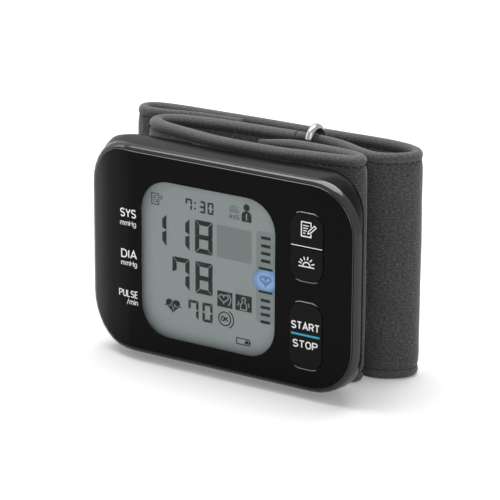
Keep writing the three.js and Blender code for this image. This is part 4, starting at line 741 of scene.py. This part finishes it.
# %% Segments and signs on the display
BIG, SMALL, TINY = 1.45, 0.82, 0.56
TICK_HALF, LONG_TICK_HALF = 0.45, 0.36
PALE_INK = (1.01, 1.025)
GREY_INK = (1.085, 1.095)


def ink(name, color, glow=0.0):
    """Matt mark on the display; a pale one has the same painted glow as the display sheet."""
    finish = plastic(name, color, 0.6, 0.5, 0.002, Specular_IOR_Level=0.15)
    finish.set("Emission Color", finish.color)
    finish.set("Emission Strength", glow)
    return finish


segment_ink = ink("segment_ink", (14, 20, 21))
tick_ink = ink("tick_ink", (3, 5, 6))
# The pale and grey marks carry the display sheet's painted glow.
faint_ink = ink("faint_ink", (66, 75, 74), PAINTED_GLOW)
strip_grey = ink("strip_grey", (122, 131, 130), PAINTED_GLOW)
square_grey = ink("square_grey", (117, 126, 125), PAINTED_GLOW)

# Each digit: its mark, left, right, bottom, top and thickness.
DIGITS = (
    ("1", -24.8, -18.8, 3.05, 12.8, BIG),
    ("1", -16.8, -10.82, 3.05, 12.8, BIG),
    ("8", -8.9, -2.9, 3.05, 13.0, BIG),
    ("7", -16.75, -10.83, -9.1, 0.55, BIG),
    ("8", -8.75, -2.88, -9.2, 0.5, BIG),
    ("7", -11.2, -7.72, -17.5, -11.65, SMALL),
    ("0", -6.35, -2.88, -17.5, -11.65, SMALL),
    ("7", -12.15, -9.95, 15.3, 18.85, TINY),
    ("3", -7.4, -5.4, 15.3, 18.85, TINY),
    ("0", -4.6, -2.57, 15.3, 18.85, TINY),
)
digits = Sheet()
for place in DIGITS:
    digit(digits, *place)
digits.bar(-9.15, -8.6, 17.65, 18.2)
digits.bar(-9.15, -8.6, 15.95, 16.5)
digits.finish("lcd_digits", segment_ink, "display_glass")

ticks = Sheet()
for z in (11.6, 9.2, 7.0, 4.75, -7.1, -9.2, -11.35, -13.6):
    ticks.bar(13.5, 16.65, z - TICK_HALF, z + TICK_HALF)
for z in (2.4, -4.55):
    ticks.bar(12.75, 17.45, z - LONG_TICK_HALF, z + LONG_TICK_HALF)
ticks.finish("lcd_ticks", tick_ink, "display_glass")


def page(sheet, left, top, size, line):
    """Sheet of paper with a pencil across it."""
    right, bottom = left + size * 0.74, top - size
    outline = [(right, top - size * 0.3), (right, top), (left, top), (left, bottom)]
    outline += [(right, bottom), (right, bottom + size * 0.22)]
    sheet.stroke(outline, line)
    for share, reach in ((0.24, 0.56), (0.42, 0.5), (0.6, 0.42), (0.78, 0.32)):
        z = top - size * share
        sheet.bar(left + size * 0.14, left + size * reach, z - line * 0.4, z + line * 0.4)
    tip = (left + size * 0.5, top - size * 0.78)
    end = (left + size * 1.08, top - size * 0.22)
    way = (Vector(end) - Vector(tip)).normalized()
    off = Vector((-way.y, way.x)) * size * 0.09
    heel = Vector(tip) + way * size * 0.16
    loop = [Vector(tip), heel + off, Vector(end) + off, Vector(end) - off, heel - off]
    sheet.stroke([tuple(p) for p in loop], line * 0.85, True)


def sunrise(sheet, x, base, radius, line):
    """Half sun with rays over a horizon."""
    sheet.arc(x, base, radius, 0, 180, line)
    sheet.bar(x - radius * 2.25, x + radius * 2.25, base - line, base)
    for turn_deg in (18, 50, 80, 110, 140, 162):
        a = math.radians(turn_deg)
        near, far = radius * 1.5, radius * 2.35
        start = (x + near * math.cos(a), base + near * math.sin(a) + line * 0.4)
        stop = (x + far * math.cos(a), base + far * math.sin(a) + line * 0.4)
        sheet.stroke([start, stop], line)


def person(sheet, x, bottom, width, height):
    """Head and shoulders."""
    sheet.disc(x, bottom + height - width * 0.33, width * 0.32)
    r = width * 0.42
    shoulder = bottom + height - width * 0.66 - r
    left, right = x - width / 2, x + width / 2
    line = [(left, bottom), (right, bottom)]
    line += bend(right - r, shoulder, r, r, 0, 90, 6)
    line += bend(left + r, shoulder, r, r, 90, 180, 6)
    sheet.polygon(line)


icons = Sheet()
page(icons, -23.9, 18.5, 3.3, 0.24)
person(icons, 8.6, 15.25, 3.3, 5.35)
icons.polygon(heart(-16.6, -14.9, 5.0, 0.95))
for left in (-19.55, -14.35):
    icons.bar(left, left + 0.7, -14.95, -14.65)
icons.arc(1.3, -15.25, 2.05, 0, 360, 0.38, 30)
icons.arc(1.5, -15.25, 2.85, -62, 62, 0.38, 16)
letters(icons, "OK", (-0.05, -14.4, 2.6, -16.1), 0.34)
icons.stroke([(5.4, -20.1), (5.4, -21.9), (9.7, -21.9), (9.7, -20.1)], 0.3, True)
icons.bar(9.85, 10.2, -21.4, -20.6)
icons.polygon([(8.0, -21.5), (9.4, -21.5), (9.4, -20.7), (8.7, -20.3)])
icons.bar(-1.2, 3.9, -11.75, -6.95)
icons.bar(4.95, 10.5, -11.7, -6.85)
icons.finish("lcd_signs", segment_ink, "display_glass")

pale_marks = Sheet(PALE_INK)
pale_marks.stroke(heart(0.95, -9.25, 3.2, 0.86), 0.36, True)
pale_marks.arc(1.25, -9.2, 2.1, -55, 55, 0.32, 12)
shoulder = [(8.15, -8.75), (8.2, -9.2), (8.75, -9.75), (8.75, -11.25)]
mirrored = [(15.5 - px, pz) for px, pz in shoulder[::-1]]
pale_marks.stroke(bend(7.75, -8.2, 0.6, 0.62, 215, -35, 12) + shoulder + mirrored, 0.34, True)
for sign in (-1, 1):
    pale_marks.stroke([(7.75 + sign * 1.95, -10.3), (7.75 + sign * 1.55, -9.0)], 0.34)
pale_marks.bar(8.42, 8.8, 15.7, 17.7)
beat = [(-18.4, -14.8), (-17.4, -14.8), (-17.1, -13.6), (-16.5, -16.0), (-16.0, -14.2)]
pale_marks.stroke(beat + [(-15.7, -14.8), (-14.8, -14.8)], 0.17)
pale_marks.finish("lcd_pale_marks", lcd_green, "display_glass")

faint = Sheet()
sunrise(faint, 4.4, 17.7, 0.75, 0.24)
letters(faint, "AVG", (2.65, 16.85, 6.2, 15.35), 0.24)
faint.finish("lcd_faint_sun", faint_ink, "display_glass")


def rounded(left, right, bottom, top, corner, steps=6):
    """Box with round corners."""
    l, r, b, t = left + corner, right - corner, bottom + corner, top - corner
    points = []
    for x, z, start in ((r, t, 0), (l, t, 90), (l, b, 180), (r, b, 270)):
        points += bend(x, z, corner, corner, start, start + 90, steps)
    return points


strip = Sheet(GREY_INK)
strip.polygon(rounded(11.9, 18.7, -14.0, 13.5, 1.2))
strip.finish("lcd_tick_strip", strip_grey, "display_glass")
square = Sheet(GREY_INK)
square.polygon(rounded(-1.5, 10.35, 3.0, 12.85, 0.5))
square.finish("lcd_grey_square", square_grey, "display_glass")
print("display signs ready")

# %% Blue positioning light
LIGHT = at(15.1, 0, -1.15)
LIGHT_HALF = (4.9 * MM, 4.1 * MM)
LIGHT_GLOW = 0.32
PATCH_INK, MARK_INK, GLIMMER_INK = (1.04, 1.08), (1.015, 1.03), (1.02, 1.03)

light_blue = Finish("light_blue", (128, 168, 214), 0.5, Specular_IOR_Level=0.1)
x, _, z = light_blue.axes()
far = ((x - LIGHT.x) * (1 / LIGHT_HALF[0])) ** 2 + ((z - LIGHT.z) * (1 / LIGHT_HALF[1])) ** 2
hot = 1 - far.between(0.0, 0.55)
blue = light_blue.mix(hot, linear((122, 160, 200)), linear((148, 178, 214)))
light_blue.set("Base Color", blue)
light_blue.set("Emission Color", blue)
light_blue.set("Emission Strength", LIGHT_GLOW)
light_blue.set("Alpha", 1 - far.between(0.25, 1.0))
patch = Sheet(PATCH_INK)
patch.polygon(rounded(10.1, 18.8, -5.4, 3.1, 3.0))
patch.finish("light_patch", light_blue, "blue_light")
mark_blue = ink("mark_blue", (104, 142, 194), 0.2)
mark_pale = ink("mark_pale", (152, 172, 224), 0.25)
mark = Sheet(MARK_INK)
mark.stroke(heart(15.1, -1.2, 3.5, 0.78), 0.75, True)
mark.finish("light_heart", mark_blue, "blue_light")
glimmer = Sheet(GLIMMER_INK)
glimmer.disc(15.1, -1.0, 0.75)
glimmer.finish("light_glimmer", mark_pale, "blue_light")
paint(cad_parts["position_light"].data, mark_blue)
print("positioning light ready")

# %% [markdown]
# ## Printed words
# The words on the panel and keys are generic: what each number is, its unit, and start and stop.
# Each letter is a few strokes of even width, and each word is fitted to its box on the face.

# %% Prints
# The white print glows a little: a painted glow.
print_white = ink("print_white", (222, 224, 224), 0.2)
print_cyan = plastic("print_cyan", (30, 160, 192), 0.45, 0.4, 0.002)
PANEL_INK = (-0.05, 0.02)
KEY_INK = (-0.27, -0.25)
START = "start_stop_key"

# Each word: its piece, text, box, stroke, depths and body.
WORDS = (
    ("print_sys", "SYS", (-34.36, 12.56, -28.73, 9.89), 0.38, PANEL_INK, BODY),
    ("print_sys_unit", "mmHg", (-34.4, 8.95, -28.76, 6.9), 0.19, PANEL_INK, BODY),
    ("print_dia", "DIA", (-34.14, 0.05, -28.49, -2.6), 0.38, PANEL_INK, BODY),
    ("print_dia_unit", "mmHg", (-34.18, -3.3, -28.52, -5.35), 0.19, PANEL_INK, BODY),
    ("print_pulse", "PULSE", (-35.0, -12.4, -28.25, -14.6), 0.28, PANEL_INK, BODY),
    ("print_pulse_unit", "/min", (-32.17, -15.0, -28.27, -16.9), 0.19, PANEL_INK, BODY),
    ("print_start", "START", (24.55, -10.5, 33.98, -12.85), 0.38, KEY_INK, START),
    ("print_stop", "STOP", (25.1, -16.0, 33.4, -18.35), 0.38, KEY_INK, START),
)
for name, text, box, weight, depths, body in WORDS:
    sheet = Sheet(depths)
    letters(sheet, text, box, weight)
    sheet.finish(name, print_white, "white_plastic", body)

bar = Sheet(KEY_INK)
bar.bar(24.55, 33.99, -14.6, -14.0)
bar.finish("print_start_bar", print_cyan, "blue_light", START)
note = Sheet(KEY_INK)
page(note, 27.63, 19.2, 4.2, 0.36)
note.finish("print_memory", print_white, "white_plastic", "memory_key")
sun = Sheet(KEY_INK)
sunrise(sun, 29.4, 6.3, 1.15, 0.36)
sun.finish("print_morning", print_white, "white_plastic", "morning_key")
rule = Sheet(KEY_INK)
rule.bar(24.2, 34.5, 11.86, 12.1)
rule.finish("print_key_rule", print_white, "white_plastic", "memory_key")
print("prints ready")

# %% [markdown]
# ## Cuff
# The cuff is one padded band: foam between two layers of knitted cloth, bound along both edges. It
# follows a flat path seen from above. A section with a round binding, a sewn groove and a fuller
# middle is swept along that path, and slow noise keeps the cloth from looking machined.

# %% Paths
BODY_PATH = [
    (1.2, 18.9), (5, 21.7), (9, 23.8), (14, 24.4), (20, 24.5), (26, 24.3), (30.2, 23.7),
    (33, 22.6), (33.8, 21.1), (32.7, 19.7), (29, 18.7), (24, 17.8), (18, 16.8), (12, 15.7),
    (4, 15.2), (-6, 15.2), (-12, 15.6), (-16, 16.3), (-20, 17.1), (-26, 18.3), (-32, 19.7),
    (-36, 21.5), (-37.5, 23.8), (-36.3, 26.3), (-32.5, 28.4), (-26, 29.8), (-18, 30.9),
    (-8, 31.7), (0, 32.2), (5.9, 32.6),
]
STRAP_PATH = [
    (6.2, 32.6), (12, 32.8), (18, 32.3), (24, 30.6), (29.5, 28.1), (34.6, 26.5), (38.6, 27.3),
    (42.2, 29.8), (44.6, 33.1), (43.9, 36.4), (40.2, 38.6), (34, 39.7), (27, 39.8), (19, 39.4),
    (12, 39.2), (4, 38.9), (-3, 38.8), (-11, 38.6), (-21, 38.2), (-28, 37.9), (-35, 37.6),
    (-42, 37), (-47, 35.6), (-48.6, 33), (-46.6, 30.8), (-41.5, 30.8), (-36, 32), (-31, 33.2),
    (-25, 34), (-19, 34.6), (-14.3, 34.9),
]
STEP = 0.9
FINE_STEPS, SMOOTHING = 40, 3


def on_way(now, first, second, start, end):
    """Place between two points, reached at start and at end."""
    return (end - now) / (end - start) * first + (now - start) / (end - start) * second


def curve_through(points):
    """Even stations along a rounded curve through points: places, side directions, lengths."""
    knots = [np.array(p, float) for p in points]
    knots = [2 * knots[0] - knots[1]] + knots + [2 * knots[-1] - knots[-2]]
    fine = []
    for p in zip(knots, knots[1:], knots[2:], knots[3:]):
        spans = [np.linalg.norm(after - before) ** 0.5 for before, after in zip(p, p[1:])]
        t = [0.0, *np.cumsum(spans)]
        for now in np.linspace(t[1], t[2], FINE_STEPS, endpoint=False):
            a = [on_way(now, p[i], p[i + 1], t[i], t[i + 1]) for i in range(3)]
            b = [on_way(now, a[i], a[i + 1], t[i], t[i + 2]) for i in range(2)]
            fine.append(on_way(now, b[0], b[1], t[1], t[2]))
    fine = np.array(fine + [knots[-2]])
    walked = np.concatenate([[0], np.cumsum(np.linalg.norm(np.diff(fine, axis=0), axis=1))])
    lengths = np.linspace(0, walked[-1], int(walked[-1] / STEP) + 1)
    places = np.stack([np.interp(lengths, walked, fine[:, i]) for i in range(2)], 1)
    for _ in range(SMOOTHING):
        places[1:-1] = places[1:-1] * 0.5 + (places[:-2] + places[2:]) * 0.25
    along = np.gradient(places, axis=0)
    along /= np.linalg.norm(along, axis=1)[:, None]
    sides = np.stack([-along[:, 1], along[:, 0]], 1)
    return places, sides, lengths


body_line = curve_through(BODY_PATH)
strap_line = curve_through(STRAP_PATH)
print("cuff length", round(float(body_line[2][-1] + strap_line[2][-1])), "mm")

# %% Melange cloth
FLECK_STRETCH = (0.6, 1.0, 1.0)
FLECK_MM, PATCH_MM, PILE_MM = 0.45, 7, 0.16


def cloth(name, dark, middle, pale, weave_mm=0.42, relief=0.45):
    """Knitted melange: dark and pale fibres in short flecks along the band, with a fine rib."""
    finish = Finish(
        name, middle, 0.92, Sheen_Weight=0.25, Sheen_Roughness=0.5, Specular_IOR_Level=0.15
    )
    spread = finish.node("ShaderNodeUVMap", {"uv_map": "cloth"})
    stretch = {"Vector": spread, "Scale": FLECK_STRETCH}
    flecks_at = finish.node("ShaderNodeMapping", {"vector_type": "POINT"}, stretch)
    flecks = finish.grain(FLECK_MM, 3.0, flecks_at, 0.6)
    patches = finish.grain(PATCH_MM, 3.0, spread)
    share = flecks.between(0.32, 0.7) * 0.8 + patches * 0.2
    low = finish.mix(share.between(0.05, 0.5), linear(dark), linear(middle))
    finish.set("Base Color", finish.mix(share.between(0.55, 0.98), low, linear(pale)))
    u, v, _ = finish.axes(spread)
    waves = math.pi / (weave_mm * MM)
    knit = (u * waves).sine() * (v * waves).sine()
    finish.relief(knit * 0.25 + flecks * 0.9, PILE_MM, relief)
    finish.set("Roughness", flecks * 0.1 + 0.86)
    return finish


cuff_cloth = cloth("cuff_cloth", (47, 47, 48), (71, 71, 72), (96, 96, 97))
binding_cloth = cloth("binding_cloth", (62, 62, 63), (81, 81, 82), (99, 99, 100), 0.35, 0.2)
thread_dark = plastic("thread_dark", (36, 36, 38), 0.85, 0.2, 0.02)
print("cloth ready")

# %% Padded band
CUFF_HALF = 34.1
BEAD_HALF_HEIGHT = 1.65
BEAD_TURN = math.radians(42)
BEAD_ROWS = 7
GROOVE_SHARE = math.cos(BEAD_TURN)
GROOVE_CUT, SWELL_REACH = 0.12, 1.1
FACE_DROPS = (0.25, 0.7, 1.4, 2.6, 4.5, 8, 13, 19, 25.5)
WAVE_ALONG, WAVE_UP, RIPPLE_RATE = 0.07, 0.05, 2.7
WAVE_DEPTH, RIPPLE_DEPTH, CALM_EDGE = 0.22, 0.08, 8
CLOTH_FACE, BINDING_FACE = 0, 1
BODY_HALF, NOSE_SHARE, NOSE_REACH, NOSE_POWER = 2.0, 0.35, 0.05, 0.7
STRAP_HALF, TAIL_THIN = 1.6, 0.2
BODY_SWELL, STRAP_SWELL = 0.2, 0.12
NECK_RISE, NECK_START, NECK_END, NECK_SHARE = 3.6, 15, 19, 0.2


def section(half, swell):
    """Half section from the top edge down to the bottom edge: offset and height."""
    points = []
    centre = CUFF_HALF - BEAD_HALF_HEIGHT
    for i in range(BEAD_ROWS + 1):
        a = math.pi / 2 - (math.pi / 2 + BEAD_TURN) * i / BEAD_ROWS
        points.append((half * math.cos(a), centre + BEAD_HALF_HEIGHT * math.sin(a)))
    groove = points[-1][1]
    low = half * GROOVE_SHARE - GROOVE_CUT
    for drop in FACE_DROPS:
        offset = low + (half + swell - low) * (1 - math.exp(-drop / SWELL_REACH))
        points.append((offset, groove - drop))
    return points + [(offset, -height) for offset, height in points[::-1]]


def squeezed(height, bottom):
    """Height in a band whose lower edge lies at bottom."""
    return bottom + (CUFF_HALF - bottom) * (height + CUFF_HALF) / (2 * CUFF_HALF)


def padded_band(name, line, half_at, swell_at, bottom_at, seed):
    """Mesh of the band with two finishes: cloth on the faces, binding along the edges."""
    shape = bmesh.new()
    layer = shape.loops.layers.uv.new("cloth")
    rings, runs = [], []
    for place, side_way, length in zip(*line):
        share = length / line[2][-1]
        profile = section(half_at(share), swell_at(share))
        bottom = bottom_at(share, place)
        ring, run, walked, last = [], [], 0.0, profile[0]
        for face_sign in (1, -1):
            ordered = profile[::face_sign]
            for i, (offset, height) in enumerate(ordered):
                walked += math.dist((face_sign * offset, height), last)
                last = (face_sign * offset, height)
                if face_sign < 0 and i in (0, len(ordered) - 1):
                    continue
                run.append((length * MM, walked * MM))
                height = squeezed(height, bottom)
                calm = min(1.0, abs(abs(height) - CUFF_HALF) / CALM_EDGE)
                px, py = place * WAVE_ALONG
                spot = Vector((px, py, height * WAVE_UP + seed * face_sign))
                wave = noise.noise(spot) * WAVE_DEPTH
                wave += noise.noise(spot * RIPPLE_RATE) * RIPPLE_DEPTH
                px, py = place + side_way * face_sign * (offset + wave * calm)
                ring.append(shape.verts.new(at(px, py, height)))
        rings.append(ring)
        runs.append(run + [(length * MM, walked * MM)])
    count = len(rings[0])
    rows = len(profile) - 1

    def in_binding(i):
        pair = [row if row <= rows else 2 * rows - row for row in (i, i + 1)]
        return max(pair) <= BEAD_ROWS or min(pair) >= rows - BEAD_ROWS

    for r in range(len(rings) - 1):
        for i in range(count):
            j = (i + 1) % count
            face = shape.faces.new((rings[r][i], rings[r][j], rings[r + 1][j], rings[r + 1][i]))
            spots = (runs[r][i], runs[r][i + 1], runs[r + 1][i + 1], runs[r + 1][i])
            for loop, spot in zip(face.loops, spots):
                loop[layer].uv = spot
            face.material_index = BINDING_FACE if in_binding(i) else CLOTH_FACE
            face.smooth = True
    for ring in (rings[0], rings[-1]):
        for i in range(rows):
            a, b = ring[i], ring[i + 1]
            c, d = ring[count - i - 1], ring[(count - i) % count]
            corners = [a, b, c, d] if i else [a, b, c]
            corners = corners if i + 1 < rows else [a, b, d]
            face = shape.faces.new(corners)
            face.material_index = BINDING_FACE
            for loop in face.loops:
                loop[layer].uv = (loop.vert.co.x, loop.vert.co.z)
    bmesh.ops.recalc_face_normals(shape, faces=shape.faces)
    mesh = bpy.data.meshes.new(name)
    shape.to_mesh(mesh)
    shape.free()
    for finish in (cuff_cloth, binding_cloth):
        mesh.materials.append(finish.material)
    return add(name, mesh)


def ramp(value, low, high):
    """0 at low, 1 at high, smooth in between."""
    t = min(1.0, max(0.0, (value - low) / (high - low)))
    return t * t * (3 - 2 * t)


def body_half(share):
    """The body thins to a nose at its free end."""
    full = min(1.0, share / NOSE_REACH) ** NOSE_POWER
    return BODY_HALF * (NOSE_SHARE + (1 - NOSE_SHARE) * full)


def body_swell(share):
    return BODY_SWELL * ramp(share, 0.02, 0.1)


def body_bottom(share, place):
    return -CUFF_HALF


def strap_half(share):
    """The strap thins towards its hook end."""
    return STRAP_HALF * (1 - TAIL_THIN * ramp(share, 0.8, 0.92))


def strap_swell(share):
    return STRAP_SWELL * ramp(share, 0.06, 0.12)


def strap_bottom(share, place):
    """The strap is narrower where it passes through the ring."""
    if share > NECK_SHARE:
        return -CUFF_HALF
    return -CUFF_HALF + NECK_RISE * (1 - ramp(place[0], NECK_START, NECK_END))


cuff_body = padded_band("cuff_body_pad", body_line, body_half, body_swell, body_bottom, 3.0)
attach(cuff_body, BODY, "cuff_body")
cuff_strap = padded_band("cuff_strap_pad", strap_line, strap_half, strap_swell, strap_bottom, 9.0)
attach(cuff_strap, BODY, "cuff_strap")
print("cuff faces", len(cuff_body.data.polygons), len(cuff_strap.data.polygons))

# %% [markdown]
# ## Ring, webbing and hook end
# The strap runs through a chrome wire ring, which a loop of webbing ties to the cuff. A curve swept
# with a round profile is the natural way to bend wire, so a small node tree makes it.

# %% Ring
ring_low, ring_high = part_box("strap_ring")
WIRE = (ring_high.x - ring_low.x) / 2
WIRE_SIDES = 24
FOOT_CORNER = 2.4 * MM


def ring_path(corner_steps=14, arch_steps=40):
    """Middle of the wire: an arch at the top and two round corners at the foot."""
    x = (ring_low.x + ring_high.x) / 2
    front, rear = ring_low.y + WIRE, ring_high.y - WIRE
    foot, head = ring_low.z + WIRE, ring_high.z - WIRE
    arch = (rear - front) / 2
    line = bend(front + arch, head - arch, arch, arch, 0, 180, arch_steps)
    for y, start in ((front + FOOT_CORNER, 180), (rear - FOOT_CORNER, 270)):
        corner = (y, foot + FOOT_CORNER, FOOT_CORNER, FOOT_CORNER)
        line += bend(*corner, start, start + 90, corner_steps)
    return [(x, y, z) for y, z in line]


def node_tree(name, *labels):
    """Node tree with a mesh in, a mesh out and lengths to set."""
    tree = bpy.data.node_groups.new(name, "GeometryNodeTree")
    tree.interface.new_socket("Geometry", in_out="INPUT", socket_type="NodeSocketGeometry")
    sockets = {}
    for label in labels:
        made = tree.interface.new_socket(label, in_out="INPUT", socket_type="NodeSocketFloat")
        sockets[label] = made.identifier
    tree.interface.new_socket("Geometry", in_out="OUTPUT", socket_type="NodeSocketGeometry")
    return tree, sockets, grower(tree, "NodeGroupInput"), grower(tree, "NodeGroupOutput")


def grower(tree, kind, **values):
    """New node in a tree, with some of its sockets set."""
    made = tree.nodes.new(kind)
    for label, value in values.items():
        made.inputs[label.replace("_", " ")].default_value = value
    return made


def join(tree, *links):
    """Link nodes, each link given as a node, its output, the next node and its input."""
    for source, output, target, entry in links:
        tree.links.new(source.outputs[output], target.inputs[entry])


def chain(tree, *nodes):
    """Pass the shape from each node to the next: first output to first input."""
    join(tree, *((before, 0, after, 0) for before, after in zip(nodes, nodes[1:])))


def wire_tree(finish):
    """Node tree: a round wire along the object's own edges."""
    tree, sockets, start, end = node_tree("bent_wire", "Wire radius")
    line = grower(tree, "GeometryNodeMeshToCurve")
    profile = grower(tree, "GeometryNodeCurvePrimitiveCircle", Resolution=WIRE_SIDES)
    swept = grower(tree, "GeometryNodeCurveToMesh", Fill_Caps=True)
    shade = grower(tree, "GeometryNodeSetShadeSmooth")
    coat = grower(tree, "GeometryNodeSetMaterial", Material=finish.material)
    chain(tree, start, line, swept, shade, coat, end)
    join(
        tree,
        (start, "Wire radius", profile, "Radius"),
        (profile, "Curve", swept, "Profile Curve"),
    )
    return tree, sockets


def grown(name, points, edges, tree, sockets, values):
    """Plain mesh that a node tree makes from a line."""
    mesh = bpy.data.meshes.new(name + "_line")
    mesh.from_pydata(points, edges, [])
    seedling = add(name + "_line", mesh)
    modifier = seedling.modifiers.new("grow", "NODES")
    modifier.node_group = tree
    for label, value in values.items():
        modifier[sockets[label]] = value
    bpy.context.view_layer.update()
    graph = bpy.context.evaluated_depsgraph_get()
    result = bpy.data.meshes.new_from_object(seedling.evaluated_get(graph))
    result.name = name
    bpy.data.objects.remove(seedling)
    return result


line = ring_path()
loop_edges = [(i, (i + 1) % len(line)) for i in range(len(line))]
tree, sockets = wire_tree(ring_chrome)
ring_mesh = grown("strap_ring_wire", line, loop_edges, tree, sockets, {"Wire radius": WIRE})
attach(link("strap_ring_wire", ring_mesh, ring_chrome), "strap_ring", "strap_ring")
print("ring faces", len(ring_mesh.polygons))

# %% [markdown]
# ## Lips of the key openings
# The panel's edge above and below each key is rounded over, and it is the only part of the opening
# that catches the light. A bent wire with both ends sunk in the panel gives that thin bright arc.

# %% Lips of the key openings
LIP_WIRE, LIP_PROUD, LIP_SINK = 0.2, 0.12, 0.5
KEY_FLANGE, KEY_CORNER, KEY_GAP = 0.7, 3.7, 0.32
rim_gloss = plastic(
    "rim_gloss", (24, 24, 26), 0.16, 0.6, 0.002,
    Specular_IOR_Level=1.0, Coat_Weight=1.0, Coat_IOR=1.8,
)
key_boxes = [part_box(key) for key in KEYS]
KEY_LEFT = (key_boxes[0][0].x - FACE.x) / MM + KEY_FLANGE - KEY_GAP
KEY_RIGHT = (key_boxes[0][1].x - FACE.x) / MM - KEY_FLANGE + KEY_GAP


def lip_path(level, way, steps=12):
    """Round the end of a key's opening: up one corner, across and down the other."""
    corner = KEY_CORNER + KEY_GAP
    points = []
    for x, first in ((KEY_RIGHT - corner, 0), (KEY_LEFT + corner, 90)):
        for i in range(steps + 1):
            a = math.radians(first + 90 * i / steps)
            edge = min(1.0, abs(math.cos(a))) ** 2
            depth = LIP_WIRE - LIP_PROUD + LIP_SINK * edge
            points.append(tuple(at(
                x + corner * math.cos(a), depth, level + way * corner * (math.sin(a) - 1)
            )))
    return points


def level_of(box, upper):
    """Height of a key's end on the face, without its hidden flange."""
    edge = (box[1].z if upper else box[0].z) - FACE.z
    return edge / MM + (KEY_GAP - KEY_FLANGE) * (1 if upper else -1)


tree, sockets = wire_tree(rim_gloss)
LIPS = (
    ("memory_key_lip", level_of(key_boxes[0], True), 1),
    ("morning_key_lip", level_of(key_boxes[1], False), -1),
    ("start_key_upper_lip", level_of(key_boxes[2], True), 1),
    ("start_key_lower_lip", level_of(key_boxes[2], False), -1),
)
for name, level, way in LIPS:
    line = lip_path(level, way)
    edges = [(i, i + 1) for i in range(len(line) - 1)]
    mesh = grown(name, line, edges, tree, sockets, {"Wire radius": LIP_WIRE * MM})
    attach(link(name, mesh, rim_gloss))
print("key lips ready")

# %% Webbing and hook end
webbing = cloth("webbing", (44, 44, 46), (58, 58, 60), (74, 74, 76), 0.8)
hook_black = plastic("hook_black", (40, 40, 42), 0.8, 0.6, 0.12)

tab = dress("ring_tab", webbing)
layer = tab.data.uv_layers.new(name="cloth")
for loop in tab.data.loops:
    corner = tab.data.vertices[loop.vertex_index].co
    layer.data[loop.index].uv = (corner.x + corner.y, corner.z)
dress("hook_tongue", hook_black)
print("webbing and hook end ready")

# %% [markdown]
# ## Stitches
# A row of thread sits in the groove beside each binding. The row follows the band's path, so a node
# tree lays small stitches at an even pitch along a line and turns each one along it.

# %% Stitches
STITCH_PITCH, STITCH_LENGTH, STITCH_RADIUS = 2.3 * MM, 1.6 * MM, 0.16 * MM
STITCH_SIDES, STITCH_PARTS = 6, 3
SEAM_DROP, SEAM_SINK = 0.15, 0.02


def stitch_tree(finish):
    """Node tree: short cylinders at an even pitch along the object's own edges."""
    lengths = ("Pitch", "Stitch length", "Thread radius")
    tree, sockets, start, end = node_tree("stitch_row", *lengths)
    line = grower(tree, "GeometryNodeMeshToCurve")
    spaced = grower(tree, "GeometryNodeCurveToPoints")
    spaced.mode = "LENGTH"
    sides = {"Vertices": STITCH_SIDES, "Side_Segments": STITCH_PARTS}
    stitch = grower(tree, "GeometryNodeMeshCylinder", **sides)
    seat = grower(tree, "GeometryNodeInstanceOnPoints")
    real = grower(tree, "GeometryNodeRealizeInstances")
    coat = grower(tree, "GeometryNodeSetMaterial", Material=finish.material)
    chain(tree, start, line, spaced, seat, real, coat, end)
    join(
        tree,
        (start, "Pitch", spaced, "Length"),
        (start, "Stitch length", stitch, "Depth"),
        (start, "Thread radius", stitch, "Radius"),
        (spaced, "Rotation", seat, "Rotation"),
        (stitch, "Mesh", seat, "Instance"),
    )
    return tree, sockets


def seam_lines(line, half_at, bottom_at, start):
    """Lines in the four grooves of a band, from a share of its length on."""
    groove = CUFF_HALF - BEAD_HALF_HEIGHT * (1 + math.sin(BEAD_TURN)) - SEAM_DROP
    points, edges = [], []
    for face_sign in (1, -1):
        for level in (groove, -groove):
            first = len(points)
            for place, side_way, length in zip(*line):
                share = length / line[2][-1]
                if share < start:
                    continue
                out = face_sign * (half_at(share) * GROOVE_SHARE - SEAM_SINK)
                px, py = place + side_way * out
                points.append(tuple(at(px, py, squeezed(level, bottom_at(share, place)))))
            edges += [(i, i + 1) for i in range(first, len(points) - 1)]
    return points, edges


tree, sockets = stitch_tree(thread_dark)
sizes = {"Pitch": STITCH_PITCH, "Stitch length": STITCH_LENGTH, "Thread radius": STITCH_RADIUS}
rows = (
    ("cuff_body_stitches", body_line, body_half, body_bottom, 0.05),
    ("cuff_strap_stitches", strap_line, strap_half, strap_bottom, 0.0),
)
for name, line, half_at, bottom_at, start in rows:
    points, edges = seam_lines(line, half_at, bottom_at, start)
    mesh = grown(name, points, edges, tree, sockets, sizes)
    attach(link(name, mesh, thread_dark))
    print(name, len(mesh.polygons))
